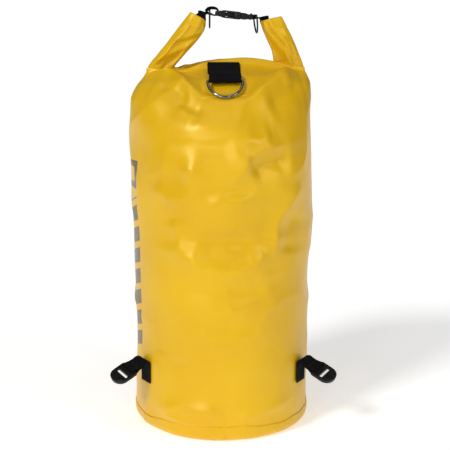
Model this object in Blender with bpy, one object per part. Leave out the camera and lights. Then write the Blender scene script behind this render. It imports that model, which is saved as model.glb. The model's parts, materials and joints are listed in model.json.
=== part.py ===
"""Roll-top dry bag: a welded tarpaulin tube whose rolled mouth is buckled into a carry handle.

Metres, +Z up. The bag stands on the floor plane, with its base's centre at the origin. Its
front, with the large D-ring, faces -Y.
"""
import math

import bmesh
import bpy
from mathutils import Matrix, Vector

# --- driving dimensions ---------------------------------------------------------------
BAG_R = 0.130  # radius of the filled tube
BASE_R = 0.128  # outer radius of the base panel's flange
SHEET = 0.0015  # thickness of the doubled tarpaulin walls
GAP = 0.0003  # clearance between pieces that touch

BASE_CORNER = 0.012  # rounding of the base panel's lower edge
FLANGE_TOP = 0.024  # height of the base panel's upturned flange
TUBE_FOOT = 0.0145  # where the tube ends inside the flange
FLARE_TOP = 0.050  # where the tube reaches its full radius

TAPER_Z = 0.370  # where the round tube starts to close
MOUTH_Z = 0.505  # height of the flattened mouth at its two ends
MOUTH_CROWN = 0.014  # how much higher the mouth's middle is
MOUTH_HALF_W = 0.112  # half width of the flattened mouth
MOUTH_HALF_D = 0.010  # half depth of the flattened mouth
MOUTH_X = 0.006  # the mouth sits a little to the right

SWING_Z = MOUTH_Z + 0.0092  # axis about which the whole handle tips
EAR_BALL = 0.0086  # radius of an ear's rounded foot
EAR_HALF_W = 0.0180
EAR_HALF_T = 0.0086
EAR_POCKET = 0.026  # depth of the open end that the strap comes out of
LEFT_EAR_X = -0.0803
LEFT_MOUTH = (-0.0357, 0.5754)
RIGHT_EAR_X = 0.0905
RIGHT_MOUTH = (0.0648, 0.5722)

BUCKLE_CENTRE = (0.0146, 0.5766)
BUCKLE_TILT = math.radians(6.2)  # the buckle slopes down to the right
BUCKLE_W = 0.032
BUCKLE_T = 0.0105
RELEASE_TRAVEL = 0.024  # how far the male half pulls out
PRONG_SQUEEZE = 0.19  # radians each prong bends inwards meanwhile

HOUSING = (-0.0265, 0.0085)  # the female half's two ends, from the buckle's centre
CAVITY_START = -0.0165
CAVITY_HALF_W = 0.0135
CAVITY_HALF_T = 0.0035
WINDOW = (-0.0125, 0.0)  # where the prongs' buttons show
WINDOW_HALF_T = 0.0032
MALE_END = 0.0255
STRAP_SLOT_HALF_W = 0.0130
FEMALE_SLOT = (-0.0238, -0.0184)
MALE_SLOT = (0.0180, 0.0228)
PRONG_ROOT = 0.0100
PRONG_Y = 0.0098
PRONG_HALF_T = 0.0020

STRAP_W = 0.025
STRAP_T = 0.0016

DRING_W = 0.0468  # width across the wire's centres
DRING_H = 0.032
DRING_WIRE = 0.0020
DRING_X = 0.0008
DRING_LEVEL = 0.80  # how far up the closing slope the ring's bar sits
DRING_STRAP_W = 0.0440
DRING_TAIL_Y = (0.0012, 0.0036)  # outer and inner face of the stitched tail, behind the bar
DRING_TAIL_Z = 0.0260  # how far up the slope the tail reaches
PATCH_W = 0.064
PATCH_BELOW = 0.016  # how far the patch reaches below and above the ring's bar
PATCH_ABOVE = 0.020

SMALL_RING_W = 0.0298
SMALL_RING_H = 0.0240
SMALL_RING_WIRE = 0.0012
LEFT_RING = (-0.0195, 0.5834)  # the bar's X and Z
RIGHT_RING = (0.0436, 0.5766)
RING_LEAN = math.radians(-6)  # the right ring stands a little oblique
RING_TIP = math.radians(-6)  # and its bow is pushed out to the right

ANCHOR_ANGLE = math.radians(58.5)  # from the front, round to each side
ANCHOR_Z = (0.069, 0.097)
TAB_DROOP = math.radians(25)
TAB_ROLL = math.radians(14)
TAB_ROOT = 0.0012  # where the tab starts, out from the fold's axis
TAB_REACH = 0.0205
TAB_HOLE = 0.0023  # the sleeve that turns on the ladder-lock's end bar
LOCK_W = 0.032
LOCK_T = 0.0045
LOCK_BAR = 0.0014  # half width of that square end bar

YELLOW = (0.80, 0.50, 0.035, 1)
YELLOW_DARK = (0.66, 0.38, 0.03, 1)
BLACK_WEB = (0.012, 0.012, 0.014, 1)
BLACK_PLASTIC = (0.018, 0.018, 0.020, 1)
STEEL = (0.72, 0.72, 0.70, 1)
WHITE_STRIP = (0.75, 0.75, 0.73, 1)


# --- small tools ------------------------------------------------------------------------
def clear_scene():
    for old in list(bpy.data.objects):
        bpy.data.objects.remove(old, do_unlink=True)


def material(name, color, roughness, metallic=0.0):
    made = bpy.data.materials.new(name)
    made.use_nodes = True
    shader = made.node_tree.nodes["Principled BSDF"]
    shader.inputs["Base Color"].default_value = color
    shader.inputs["Roughness"].default_value = roughness
    shader.inputs["Metallic"].default_value = metallic
    made.diffuse_color = color
    return made


def add_mesh(name, verts, faces, mat, place=None):
    """A closed mesh as a named object; place moves it from its own frame to the bag's."""
    mesh = bpy.data.meshes.new(name)
    mesh.from_pydata([tuple(v) for v in verts], [], faces)
    tidy = bmesh.new()
    tidy.from_mesh(mesh)
    bmesh.ops.recalc_face_normals(tidy, faces=tidy.faces)
    tidy.to_mesh(mesh)
    tidy.free()
    obj = bpy.data.objects.new(name, mesh)
    obj.data.materials.append(mat)
    if place is not None:
        obj.matrix_world = place
    bpy.context.collection.objects.link(obj)
    return obj


def smooth(obj, degrees=40):
    obj.data.shade_smooth()
    obj.data.set_sharp_from_angle(angle=math.radians(degrees))


def frame_at(origin, x_axis, y_axis):
    """A placement whose local X and Y are the given perpendicular directions."""
    x = Vector(x_axis).normalized()
    y = Vector(y_axis).normalized()
    z = x.cross(y)
    rot = Matrix((x, y, z)).transposed().to_4x4()
    return Matrix.Translation(Vector(origin)) @ rot


def box(name, low, high, mat, place=None):
    x0, y0, z0 = low
    x1, y1, z1 = high
    verts = [(x, y, z) for x in (x0, x1) for y in (y0, y1) for z in (z0, z1)]
    faces = [(0, 1, 3, 2), (4, 6, 7, 5), (0, 4, 5, 1), (2, 3, 7, 6), (0, 2, 6, 4), (1, 5, 7, 3)]
    return add_mesh(name, verts, faces, mat, place)


def bevel(obj, width, segments=2):
    mod = obj.modifiers.new("edges", "BEVEL")
    mod.width = width
    mod.segments = segments
    mod.limit_method = "ANGLE"


def cut(obj, cutters):
    for cutter in cutters:
        cutter.hide_render = True
        cutter.display_type = "WIRE"
        mod = obj.modifiers.new("cut " + cutter.name, "BOOLEAN")
        mod.operation = "DIFFERENCE"
        mod.solver = "EXACT"
        mod.object = cutter


def loft(name, rings, mat, place=None):
    """A closed solid through rings of equally many points, capped at both ends."""
    count = len(rings[0])
    verts = [p for ring in rings for p in ring]
    faces = []
    for k in range(len(rings) - 1):
        for i in range(count):
            j = (i + 1) % count
            faces.append((k * count + i, k * count + j, (k + 1) * count + j, (k + 1) * count + i))
    faces.append(tuple(range(count)))
    faces.append(tuple((len(rings) - 1) * count + i for i in range(count)))
    return add_mesh(name, verts, faces, mat, place)


def prism(name, outline, half_width, mat, place=None):
    """An outline in local X and Z, extruded evenly both ways along local Y."""
    rings = [[(x, side * half_width, z) for x, z in outline] for side in (-1, 1)]
    return loft(name, rings, mat, place)


def ring_loop(name, path, wire, sides, mat, place=None):
    """A wire of round section along a closed path in local X and Z."""
    count = len(path)
    verts = []
    for i, (x, z) in enumerate(path):
        before = path[i - 1]
        after = path[(i + 1) % count]
        along = Vector((after[0] - before[0], 0, after[1] - before[1])).normalized()
        out = along.cross(Vector((0, 1, 0)))
        for k in range(sides):
            turn = 2 * math.pi * k / sides
            centre = Vector((x, 0, z))
            verts.append(centre + out * wire * math.cos(turn) + Vector((0, wire * math.sin(turn), 0)))
    faces = []
    for i in range(count):
        j = (i + 1) % count
        for k in range(sides):
            m = (k + 1) % sides
            faces.append((i * sides + k, j * sides + k, j * sides + m, i * sides + m))
    return add_mesh(name, verts, faces, mat, place)


def d_path(width, height, corner, arc_points):
    """A D lying below its straight bar: bar along local X at z = 0, bow down to -height."""
    half = width / 2
    points = [(-half + corner + (width - 2 * corner) * k / 4, 0.0) for k in range(5)]
    for k in range(1, 3):
        turn = math.pi / 2 * (1 - k / 3)
        points.append((half - corner + corner * math.cos(turn), corner * (math.sin(turn) - 1)))
    for k in range(arc_points + 1):
        turn = math.pi * k / arc_points
        points.append((half * math.cos(turn), -corner - (height - corner) * math.sin(turn)))
    for k in range(1, 3):
        turn = math.pi / 2 * (1 + (3 - k) / 3)
        points.append((-half + corner + corner * math.cos(turn), corner * (math.sin(turn) - 1)))
    return points


# --- the tube -----------------------------------------------------------------------------
def tube_radius(z):
    """Outer radius of the round part: narrow inside the base's flange, then flaring out."""
    foot = BASE_R - SHEET - GAP
    share = min(max((z - FLANGE_TOP - 0.002) / (FLARE_TOP - FLANGE_TOP), 0), 1)
    return foot + (BAG_R - foot) * (3 - 2 * share) * share**2


def wall_point(turn, z):
    """A point of the tube's outer surface: turn runs from +X over +Y, z up to MOUTH_Z."""
    t = max((z - TAPER_Z) / (MOUTH_Z - TAPER_Z), 0)
    closing = (1 - t**2) ** 0.75
    half_w = tube_radius(z) - (BAG_R - MOUTH_HALF_W) * t**3
    half_d = MOUTH_HALF_D + (tube_radius(z) - MOUTH_HALF_D) * closing
    power = 2 / (2 + 1.2 * t**3)
    c = math.cos(turn)
    s = math.sin(turn)
    x = math.copysign(abs(c) ** power, c)
    y = math.copysign(abs(s) ** power, s)
    crown = MOUTH_CROWN * t**2 * (1 - min(abs(x), 1) ** 2)
    return Vector((MOUTH_X * t**2 + half_w * x, half_d * y, z + crown))


def wall_normal(turn, z):
    step = 0.0005
    along = wall_point(turn + 0.01, z) - wall_point(turn - 0.01, z)
    up = wall_point(turn, z + step) - wall_point(turn, z - step)
    return along.cross(up).normalized()


def wall_levels():
    """Heights of the tube's rings: close together where it flares and where it closes."""
    levels = [TUBE_FOOT, FLANGE_TOP + 0.002, 0.034, FLARE_TOP, 0.16, 0.27, TAPER_Z]
    steps = 10
    for k in range(1, steps + 1):
        levels.append(TAPER_Z + (MOUTH_Z - TAPER_Z) * math.sin(math.pi / 2 * k / steps))
    return levels


def tube_wall(mat, count=56):
    verts = []
    levels = wall_levels()
    for z in levels:
        verts += [wall_point(2 * math.pi * i / count, z) for i in range(count)]
    faces = []
    for k in range(len(levels) - 1):
        for i in range(count):
            j = (i + 1) % count
            faces.append((k * count + i, k * count + j, (k + 1) * count + j, (k + 1) * count + i))
    obj = add_mesh("tube_wall", verts, faces, mat)
    thicken = obj.modifiers.new("sheet", "SOLIDIFY")
    thicken.thickness = SHEET
    thicken.offset = -1
    smooth(obj)
    return obj


def turn_at_x(x, z, side):
    """The turn at which the wall's outline at height z reaches x, on the -Y or +Y side."""
    low, high = 0.0, math.pi
    for _ in range(40):
        middle = (low + high) / 2
        if wall_point(middle, z).x > x:
            low = middle
        else:
            high = middle
    return side * low


def wall_slab(name, columns, z_low, z_high, lift, thickness, mat, up=6):
    """A slab that hugs the tube's outside, lift metres clear of it.

    columns gives the wall's turn, across the slab, at each height.
    """
    verts = []
    for level in (lift, lift + thickness):
        for i in range(up + 1):
            z = z_low + (z_high - z_low) * i / up
            for turn in columns(z):
                verts.append(wall_point(turn, z) + wall_normal(turn, z) * level)
    row = len(columns(z_low))
    across = row - 1
    layer = row * (up + 1)
    faces = []
    for i in range(up):
        for j in range(across):
            a = i * row + j
            faces.append((a, a + 1, a + row + 1, a + row))
            faces.append((layer + a, layer + a + row, layer + a + row + 1, layer + a + 1))
    rim = [j for j in range(across)]
    rim += [i * row + across for i in range(up)]
    rim += [up * row + across - j for j in range(across)]
    rim += [(up - i) * row for i in range(up)]
    for a, b in zip(rim, rim[1:] + rim[:1]):
        faces.append((a, b, layer + b, layer + a))
    obj = add_mesh(name, verts, faces, mat)
    smooth(obj)
    return obj


def dring_patch(mat, across=12):
    """The welded tarpaulin patch behind the large ring, square on the front slope."""
    z_mid = TAPER_Z + (MOUTH_Z - TAPER_Z) * DRING_LEVEL
    half = PATCH_W / 2

    def columns(z):
        return [turn_at_x(DRING_X + half * (2 * j / across - 1), z, -1) for j in range(across + 1)]

    wall_slab("dring_patch", columns, z_mid - PATCH_BELOW, z_mid + PATCH_ABOVE, 0.0008, 0.0009, mat, 10)


def anchor(name, side, mat, across=6):
    """Webbing stitched flat to the tube's side, below the free tab."""
    spread = STRAP_W / 2 / BAG_R

    def columns(z):
        return [side_turn(side) + spread * (2 * j / across - 1) for j in range(across + 1)]

    wall_slab(name, columns, ANCHOR_Z[0], ANCHOR_Z[1], GAP, 0.0024, mat, 2)


def base_panel(mat, count=64):
    """The bottom: a flat disc whose rounded edge turns up into a flange."""
    outer = [(BASE_R - BASE_CORNER, 0.0)]
    inner = [(BASE_R - BASE_CORNER, SHEET)]
    steps = 4
    for k in range(1, steps + 1):
        turn = math.pi / 2 * k / steps
        for line, radius in ((outer, BASE_CORNER), (inner, BASE_CORNER - SHEET)):
            r = BASE_R - BASE_CORNER + radius * math.sin(turn)
            line.append((r, BASE_CORNER - radius * math.cos(turn)))
    outer.append((BASE_R, FLANGE_TOP))
    inner.append((BASE_R - SHEET, FLANGE_TOP))
    profile = outer + inner[::-1]
    verts = [(0, 0, 0), (0, 0, SHEET)]
    for i in range(count):
        turn = 2 * math.pi * i / count
        verts += [(r * math.cos(turn), r * math.sin(turn), z) for r, z in profile]
    n = len(profile)
    faces = []
    for i in range(count):
        a = 2 + i * n
        b = 2 + (i + 1) % count * n
        faces.append((0, b, a))
        faces.append((1, a + n - 1, b + n - 1))
        for k in range(n - 1):
            faces.append((a + k, b + k, b + k + 1, a + k + 1))
    obj = add_mesh("base_panel", verts, faces, mat)
    smooth(obj)
    return obj


# --- the rolled mouth ---------------------------------------------------------------------
ROLL_X = (-0.062, 0.070)
ROLL_CENTRE = (0.0395, 0.5165)
ROLL_TILT = math.radians(-27)  # it lies on the mouth's rear slope
ROLL_FLAT = 0.0085  # half length of the spiral's flat stretches
ROLL_SHEET = 0.0011
ROLL_PITCH = 0.0019
ROLL_CORE = 0.0026
ROLL_TURNS = 1.5


def roll_frame():
    """At the roll's middle: X along the roll, Y along its flat stretches."""
    centre = Matrix.Translation((0, *ROLL_CENTRE))
    return centre @ Matrix.Rotation(ROLL_TILT, 4, "X")


def spiral_point(turns, lift):
    """A flattened spiral in Y and Z, growing outwards from the stiffeners."""
    radius = ROLL_CORE + ROLL_PITCH * turns + lift
    turn = 2 * math.pi * (turns + 0.25)
    shift = ROLL_FLAT * math.tanh(8 * math.cos(turn))
    return radius * math.cos(turn) + shift, radius * math.sin(turn)


def closure_roll(mat):
    steps = 36
    inside = [spiral_point(ROLL_TURNS * k / steps, 0.0) for k in range(steps + 1)]
    outside = [spiral_point(ROLL_TURNS * k / steps, ROLL_SHEET) for k in range(steps + 1)]
    outline = inside + outside[::-1]
    rings = [[(x, y, z) for y, z in outline] for x in ROLL_X]
    obj = loft("closure_roll", rings, mat, roll_frame())
    smooth(obj)
    return obj


def stiffeners(mat):
    """Two flat strips in the roll's core, one behind each face of the mouth."""
    half = 0.0085
    thick = 0.0010
    inset = 0.001
    for name, low in (("stiffener_front", GAP / 2), ("stiffener_rear", -GAP / 2 - thick)):
        low_corner = (ROLL_X[0] + inset, -half, low)
        high_corner = (ROLL_X[1] - inset, half, low + thick)
        box(name, low_corner, high_corner, mat, roll_frame())


# --- ears, straps and buckle ----------------------------------------------------------------
def flat_ring(centre, wide, deep, half_w, half_t, count):
    """A rounded flat section around centre, wide and deep being unit directions."""
    ring = []
    for i in range(count):
        turn = 2 * math.pi * i / count
        c = math.cos(turn)
        s = math.sin(turn)
        across = half_w * math.copysign(abs(c) ** 0.8, c)
        ring.append(centre + wide * across + deep * half_t * math.copysign(abs(s) ** 0.8, s))
    return ring


def ear(name, foot_x, mouth, mat, count=20):
    """A flat hollow-ended arm from a ball foot on the swing axis up to the strap's mouth."""
    foot = Vector((foot_x, 0, SWING_Z))
    tip = Vector((mouth[0], 0, mouth[1]))
    along = (tip - foot).normalized()
    deep = Vector((0, 1, 0))
    wide = along.cross(deep)
    length = (tip - foot).length
    rings = []
    for k in range(1, 6):
        turn = math.pi / 2 * k / 5
        size = EAR_BALL * math.sin(turn)
        centre = foot - along * EAR_BALL * math.cos(turn)
        rings.append(flat_ring(centre, wide, deep, size, size, count))
    for share in (0.10, 0.2, 0.34, 0.6, 1.0):
        spread = min(share / 0.34, 1)
        half_w = EAR_BALL + (EAR_HALF_W - EAR_BALL) * math.sin(math.pi / 2 * spread)
        rings.append(flat_ring(foot + along * length * share, wide, deep, half_w, EAR_HALF_T, count))
    wall = SHEET
    for depth in (0.0, EAR_POCKET):
        centre = tip - along * depth
        rings.append(flat_ring(centre, wide, deep, EAR_HALF_W - wall, EAR_HALF_T - wall, count))
    pivot = Matrix.Translation(foot)
    local = [[point - foot for point in ring] for ring in rings]
    obj = loft(name, local, mat, pivot)
    smooth(obj)
    return obj


def strap(name, points, twists, mat):
    """Webbing along points in X and Z; twist turns its width from across (0) to Y (1)."""
    rings = []
    for i, (x, z) in enumerate(points):
        before = Vector(points[max(i - 1, 0)])
        after = Vector(points[min(i + 1, len(points) - 1)])
        run = (after - before).normalized()
        flat = Vector((-run.y, 0, run.x))
        turn = math.pi / 2 * twists[i]
        wide = flat * math.cos(turn) + Vector((0, 1, 0)) * math.sin(turn)
        thick = Vector((run.x, 0, run.y)).cross(wide)
        centre = Vector((x, 0, z))
        corners = ((-1, -1), (1, -1), (1, 1), (-1, 1))
        ring = [centre + wide * a * STRAP_W / 2 + thick * b * STRAP_T / 2 for a, b in corners]
        rings.append(ring)
    return loft(name, rings, mat)


def buckle_frame():
    """Local X along the buckle to the right, Y back, Z up through its thickness."""
    centre = Vector((BUCKLE_CENTRE[0], 0, BUCKLE_CENTRE[1]))
    along = Vector((math.cos(BUCKLE_TILT), 0, -math.sin(BUCKLE_TILT)))
    return frame_at(centre, along, Vector((0, 1, 0)))


RIB_HALF_W = 0.0022


def slot_cutter(name, ends, mat, place):
    low = (ends[0], -STRAP_SLOT_HALF_W, -0.02)
    return box(name, low, (ends[1], STRAP_SLOT_HALF_W, 0.02), mat, place)


def buckle_female(mat):
    place = buckle_frame()
    half_w = BUCKLE_W / 2
    half_t = BUCKLE_T / 2
    shell = box("buckle_female", (HOUSING[0], -half_w, -half_t), (HOUSING[1], half_w, half_t), mat, place)
    bevel(shell, 0.0016)
    cavity = box(
        "female_cavity_cutter",
        (CAVITY_START, -CAVITY_HALF_W, -CAVITY_HALF_T),
        (HOUSING[1] + 0.01, CAVITY_HALF_W, CAVITY_HALF_T),
        mat,
        place,
    )
    window = box(
        "female_window_cutter",
        (WINDOW[0], -0.03, -WINDOW_HALF_T),
        (WINDOW[1], 0.03, WINDOW_HALF_T),
        mat,
        place,
    )
    bar_slot = slot_cutter("female_bar_cutter", FEMALE_SLOT, mat, place)
    cut(shell, [cavity, window, bar_slot])
    return shell


def buckle_male(mat):
    """The ladder end with its two strap slots, and the guide rib between the prongs."""
    place = buckle_frame()
    half = BUCKLE_W / 2 - 0.0005
    start = HOUSING[1] + GAP
    profile = [
        (start, -half),
        (MALE_END - 0.003, -half),
        (MALE_END, -half + 0.003),
        (MALE_END, half - 0.003),
        (MALE_END - 0.003, half),
        (start, half),
        (start, RIB_HALF_W),
        (-0.0100, RIB_HALF_W),
        (-0.0118, 0.0008),
        (-0.0118, -0.0008),
        (-0.0100, -RIB_HALF_W),
        (start, -RIB_HALF_W),
    ]
    body_t = 0.0042
    rings = [[(x, y, z) for x, y in profile[:6]] for z in (-body_t, body_t)]
    body = loft("buckle_male", rings, mat, place)
    bevel(body, 0.0010)
    rib_rings = [[(x, y, z) for x, y in profile[6:]] for z in (-PRONG_HALF_T, PRONG_HALF_T)]
    rib = loft("male_rib_guide", [[(x + 0.0015, y, z) for x, y, z in r] for r in rib_rings], mat, place)
    rib.hide_render = True
    rib.display_type = "WIRE"
    join = body.modifiers.new("rib", "BOOLEAN")
    join.operation = "UNION"
    join.solver = "EXACT"
    join.object = rib
    slots = [
        slot_cutter("male_slot_cutter", MALE_SLOT, mat, place),
    ]
    for name, sign in (("male_root_front_cutter", -1), ("male_root_back_cutter", 1)):
        y0, y1 = sorted((sign * (PRONG_Y - 0.0032), sign * (PRONG_Y + 0.0032)))
        slots.append(box(name, (start - 0.002, y0, -0.0026), (PRONG_ROOT + 0.0032, y1, 0.0026), mat, place))
    cut(body, slots)
    return body


def prong(name, side, mat):
    """A springy arm hinged at the male body, with a sloping button that fills the window."""
    outline = [(0.0019 * math.cos(a), 0.0019 * math.sin(a)) for a in (-1.2, -0.6, 0, 0.6, 1.2)]
    outer = [
        (-0.0030, 0.0019),
        (-0.0100, 0.0027),
        (-0.0140, 0.0034),
        (-0.0190, 0.0046),
        (-0.0206, 0.0046),
        (-0.0218, 0.0026),
        (-0.0245, 0.0012),
        (-0.0252, -0.0006),
    ]
    inner = [(-0.0246, -0.0019), (-0.0140, -0.0016), (-0.0030, -0.0019)]
    points = outline + outer + inner
    rings = [[(x, side * y, z) for x, y in points] for z in (-PRONG_HALF_T, PRONG_HALF_T)]
    place = buckle_frame() @ Matrix.Translation((PRONG_ROOT, side * PRONG_Y, 0))
    return loft(name, rings, mat, place)


def strap_parts(mat):
    """Both closure straps: flat in the ears' mouths, turned level where they reach the buckle."""
    place = buckle_frame()
    left_bar = place @ Vector((HOUSING[0] - 0.0010, 0, 0.0))
    right_bar = place @ Vector((MALE_END + 0.0008, 0, 0.0))
    left = Vector(LEFT_MOUTH)
    left_in = (left - Vector((LEFT_EAR_X, SWING_Z))).normalized()
    right = Vector(RIGHT_MOUTH)
    right_in = (right - Vector((RIGHT_EAR_X, SWING_Z))).normalized()
    left_points = [
        left - left_in * 0.014,
        left - left_in * 0.004,
        left + left_in * 0.003,
        left + Vector((0.0085, 0.0056)),
        left_bar.xz + Vector((-0.006, 0.0010)),
        left_bar.xz,
    ]
    strap("left_strap", left_points, (0, 0, 0.2, 0.7, 1, 1), mat)
    right_points = [
        right - right_in * 0.012,
        right - right_in * 0.004,
        right + right_in * 0.0045,
        right + Vector((-0.0105, 0.0060)),
        right_bar.xz + Vector((0.005, 0.0002)),
        right_bar.xz,
    ]
    strap("right_strap", right_points, (0, 0, 0.1, 0.6, 1, 1), mat)


def small_ring(name, x, z, lean, tip, mat):
    """A wire D hung over a closure strap: its bar lies across the strap, its bow hangs down."""
    path = d_path(SMALL_RING_W, SMALL_RING_H, 0.003, 10)
    along = Vector((math.sin(lean), math.cos(lean), 0))
    place = frame_at((x, 0, z), along, Vector((math.cos(lean), -math.sin(lean), 0)))
    place = place @ Matrix.Rotation(math.pi + tip, 4, "X")
    obj = ring_loop(name, path, SMALL_RING_WIRE, 6, mat, place)
    smooth(obj)
    return obj


# --- front D-ring -----------------------------------------------------------------------------
def dring_frame():
    """On the front slope: X right, Y into the bag, Z up the slope; origin at the ring's bar."""
    z = TAPER_Z + (MOUTH_Z - TAPER_Z) * DRING_LEVEL
    front = -math.pi / 2
    out = wall_normal(front, z)
    out.x = 0
    out.normalize()
    base = wall_point(front, z)
    origin = Vector((DRING_X, base.y, base.z)) + out * 0.0058
    return frame_at(origin, Vector((1, 0, 0)), -out)


def dring_webbing(mat):
    """A flat stitched tail lying on the patch, and a sleeve around the ring's bar."""
    place = dring_frame()
    hole = DRING_WIRE + 0.0005
    skin = hole + STRAP_T
    half = DRING_STRAP_W / 2 - 0.0015
    face, back = DRING_TAIL_Y
    outline = [(back, DRING_TAIL_Z), (back, 0.0030)]
    steps = 14
    for k in range(steps + 1):
        turn = math.radians(35 - 290 * k / steps)
        outline.append((skin * math.cos(turn), skin * math.sin(turn)))
    outline.append((face, 0.0075))
    outline.append((face, DRING_TAIL_Z))
    rings = [[(side * half, y, z) for y, z in outline] for side in (-1, 1)]
    body = loft("dring_webbing", rings, mat, place)
    bore_ring = []
    for k in range(12):
        turn = 2 * math.pi * k / 12
        bore_ring.append((hole * math.cos(turn), hole * math.sin(turn)))
    bore = loft(
        "dring_bore_cutter",
        [[(side * 0.04, y, z) for y, z in bore_ring] for side in (-1, 1)],
        mat,
        place,
    )
    cut(body, [bore])
    return body


def d_ring(mat):
    path = d_path(DRING_W, DRING_H, 0.004, 18)
    obj = ring_loop("d_ring", path, DRING_WIRE, 8, mat, dring_frame())
    smooth(obj)
    return obj


# --- lower strap anchors ------------------------------------------------------------------------


def side_turn(side):
    return -math.pi / 2 + side * ANCHOR_ANGLE


def tab_frame(side):
    """At the fold above an anchor: X out and down along the tab, Y across it, Z off its top."""
    turn = side_turn(side)
    out = Vector((math.cos(turn), math.sin(turn), 0))
    fold = out * (BAG_R + 0.0050) + Vector((0, 0, ANCHOR_Z[1] + 0.0030))
    along = out * math.cos(TAB_DROOP) - Vector((0, 0, math.sin(TAB_DROOP)))
    across = Vector((0, 0, 1)).cross(out)
    place = frame_at(fold, along, across)
    return place @ Matrix.Rotation(side * TAB_ROLL, 4, "X")


def webbing_tab(name, side, mat):
    """A doubled strap that ends in a sleeve around the ladder-lock's end bar."""
    half_t = 0.0013
    skin = TAB_HOLE + 0.0012
    outline = [(TAB_ROOT, -half_t), (TAB_REACH - skin - 0.001, -half_t)]
    for k in range(15):
        turn = math.radians(-155 + 310 * k / 14)
        outline.append((TAB_REACH + skin * math.cos(turn), skin * math.sin(turn)))
    outline += [(TAB_REACH - skin - 0.001, half_t), (TAB_ROOT, half_t)]
    body = prism(name, outline, STRAP_W / 2, mat, tab_frame(side))
    ring = []
    for k in range(12):
        turn = math.pi / 6 * k
        ring.append((TAB_REACH + TAB_HOLE * math.cos(turn), TAB_HOLE * math.sin(turn)))
    bore = prism(name + "_bore_cutter", ring, 0.03, mat, tab_frame(side))
    cut(body, [bore])
    return body


def ladder_lock(name, side, mat):
    """A strap adjuster: end bar, two slots with a bar between them, and a rounded grip plate."""
    place = tab_frame(side) @ Matrix.Translation((TAB_REACH, 0, 0))
    half = LOCK_W / 2
    outline = [(-LOCK_BAR, -half + 0.0014), (-LOCK_BAR + 0.0012, -half)]
    plate_start = 0.0170
    for k in range(13):
        turn = math.radians(-90 + 15 * k)
        outline.append((plate_start + 0.0125 * math.cos(turn), half * math.sin(turn)))
    outline += [(-LOCK_BAR + 0.0012, half), (-LOCK_BAR, half - 0.0014)]
    rings = [[(x, y, z) for x, y in outline] for z in (-LOCK_T / 2, LOCK_T / 2)]
    plate = loft(name, rings, mat, place)
    bevel(plate, 0.0007, 1)
    slot = STRAP_W / 2 + 0.0004
    cutters = [
        box(name + "_slot_a_cutter", (LOCK_BAR, -slot, -0.01), (0.0072, slot, 0.01), mat, place),
        box(name + "_slot_b_cutter", (0.0108, -slot, -0.01), (0.0152, slot, 0.01), mat, place),
        box(name + "_bar_top_cutter", (-0.01, -slot, LOCK_BAR), (0.005, slot, 0.01), mat, place),
        box(name + "_bar_low_cutter", (-0.01, -slot, -0.01), (0.005, slot, -LOCK_BAR), mat, place),
    ]
    cut(plate, cutters)
    return plate


def build():
    clear_scene()
    tarpaulin = material("tarpaulin", YELLOW, 0.38)
    base_tarp = material("base_tarpaulin", YELLOW_DARK, 0.42)
    webbing = material("webbing", BLACK_WEB, 0.85)
    plastic = material("plastic", BLACK_PLASTIC, 0.35)
    wire = material("black_wire", BLACK_PLASTIC, 0.30, 0.4)
    steel = material("steel", STEEL, 0.18, 1.0)
    strip = material("strip", WHITE_STRIP, 0.5)

    tube_wall(tarpaulin)
    base_panel(base_tarp)
    closure_roll(tarpaulin)
    stiffeners(strip)

    ear("left_ear", LEFT_EAR_X, LEFT_MOUTH, tarpaulin)
    ear("right_ear", RIGHT_EAR_X, RIGHT_MOUTH, tarpaulin)
    strap_parts(webbing)
    buckle_female(plastic)
    buckle_male(plastic)
    prong("prong_front", -1, plastic)
    prong("prong_back", 1, plastic)
    small_ring("left_ring", *LEFT_RING, 0.0, 0.0, wire)
    small_ring("right_ring", *RIGHT_RING, RING_LEAN, RING_TIP, wire)

    dring_patch(tarpaulin)
    dring_webbing(webbing)
    d_ring(steel)

    for name, side in (("left", -1), ("right", 1)):
        anchor(name + "_anchor", side, webbing)
        webbing_tab(name + "_tab", side, webbing)
        ladder_lock(name + "_ladder_lock", side, plastic)


build()
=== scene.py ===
"""Looks of the roll-top dry bag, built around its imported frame. Metres, +Z up, front at -Y."""

import json
import math

import bmesh
import bpy
import numpy as np
from mathutils import Matrix, Vector, noise


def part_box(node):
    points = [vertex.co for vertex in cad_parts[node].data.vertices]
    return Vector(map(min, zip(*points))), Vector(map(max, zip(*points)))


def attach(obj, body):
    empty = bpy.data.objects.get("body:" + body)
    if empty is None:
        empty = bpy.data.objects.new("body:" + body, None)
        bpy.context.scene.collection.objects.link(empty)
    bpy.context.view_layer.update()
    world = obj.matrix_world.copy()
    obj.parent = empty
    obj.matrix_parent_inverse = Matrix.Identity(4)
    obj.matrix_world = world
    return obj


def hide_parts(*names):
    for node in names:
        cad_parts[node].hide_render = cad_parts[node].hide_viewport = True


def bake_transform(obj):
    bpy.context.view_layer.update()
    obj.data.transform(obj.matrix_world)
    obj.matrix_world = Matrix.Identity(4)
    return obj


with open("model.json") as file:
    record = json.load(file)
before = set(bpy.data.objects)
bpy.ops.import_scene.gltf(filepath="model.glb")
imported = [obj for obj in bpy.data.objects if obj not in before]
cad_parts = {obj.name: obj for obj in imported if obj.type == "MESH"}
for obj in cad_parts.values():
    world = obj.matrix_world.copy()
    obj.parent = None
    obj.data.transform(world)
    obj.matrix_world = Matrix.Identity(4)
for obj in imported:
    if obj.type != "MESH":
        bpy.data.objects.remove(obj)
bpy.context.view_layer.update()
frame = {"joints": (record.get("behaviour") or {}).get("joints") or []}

# --- sizes read from the frame ----------------------------------
tube_low, tube_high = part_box("tube_wall")
BAG_R = (tube_high[0] - tube_low[0]) / 2
FLANGE_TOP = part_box("base_panel")[1][2]
JOINTS = {j["name"]: j for j in frame["joints"]}
SWING_Z = JOINTS["handle_swing"]["pos_m"][2]

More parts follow.
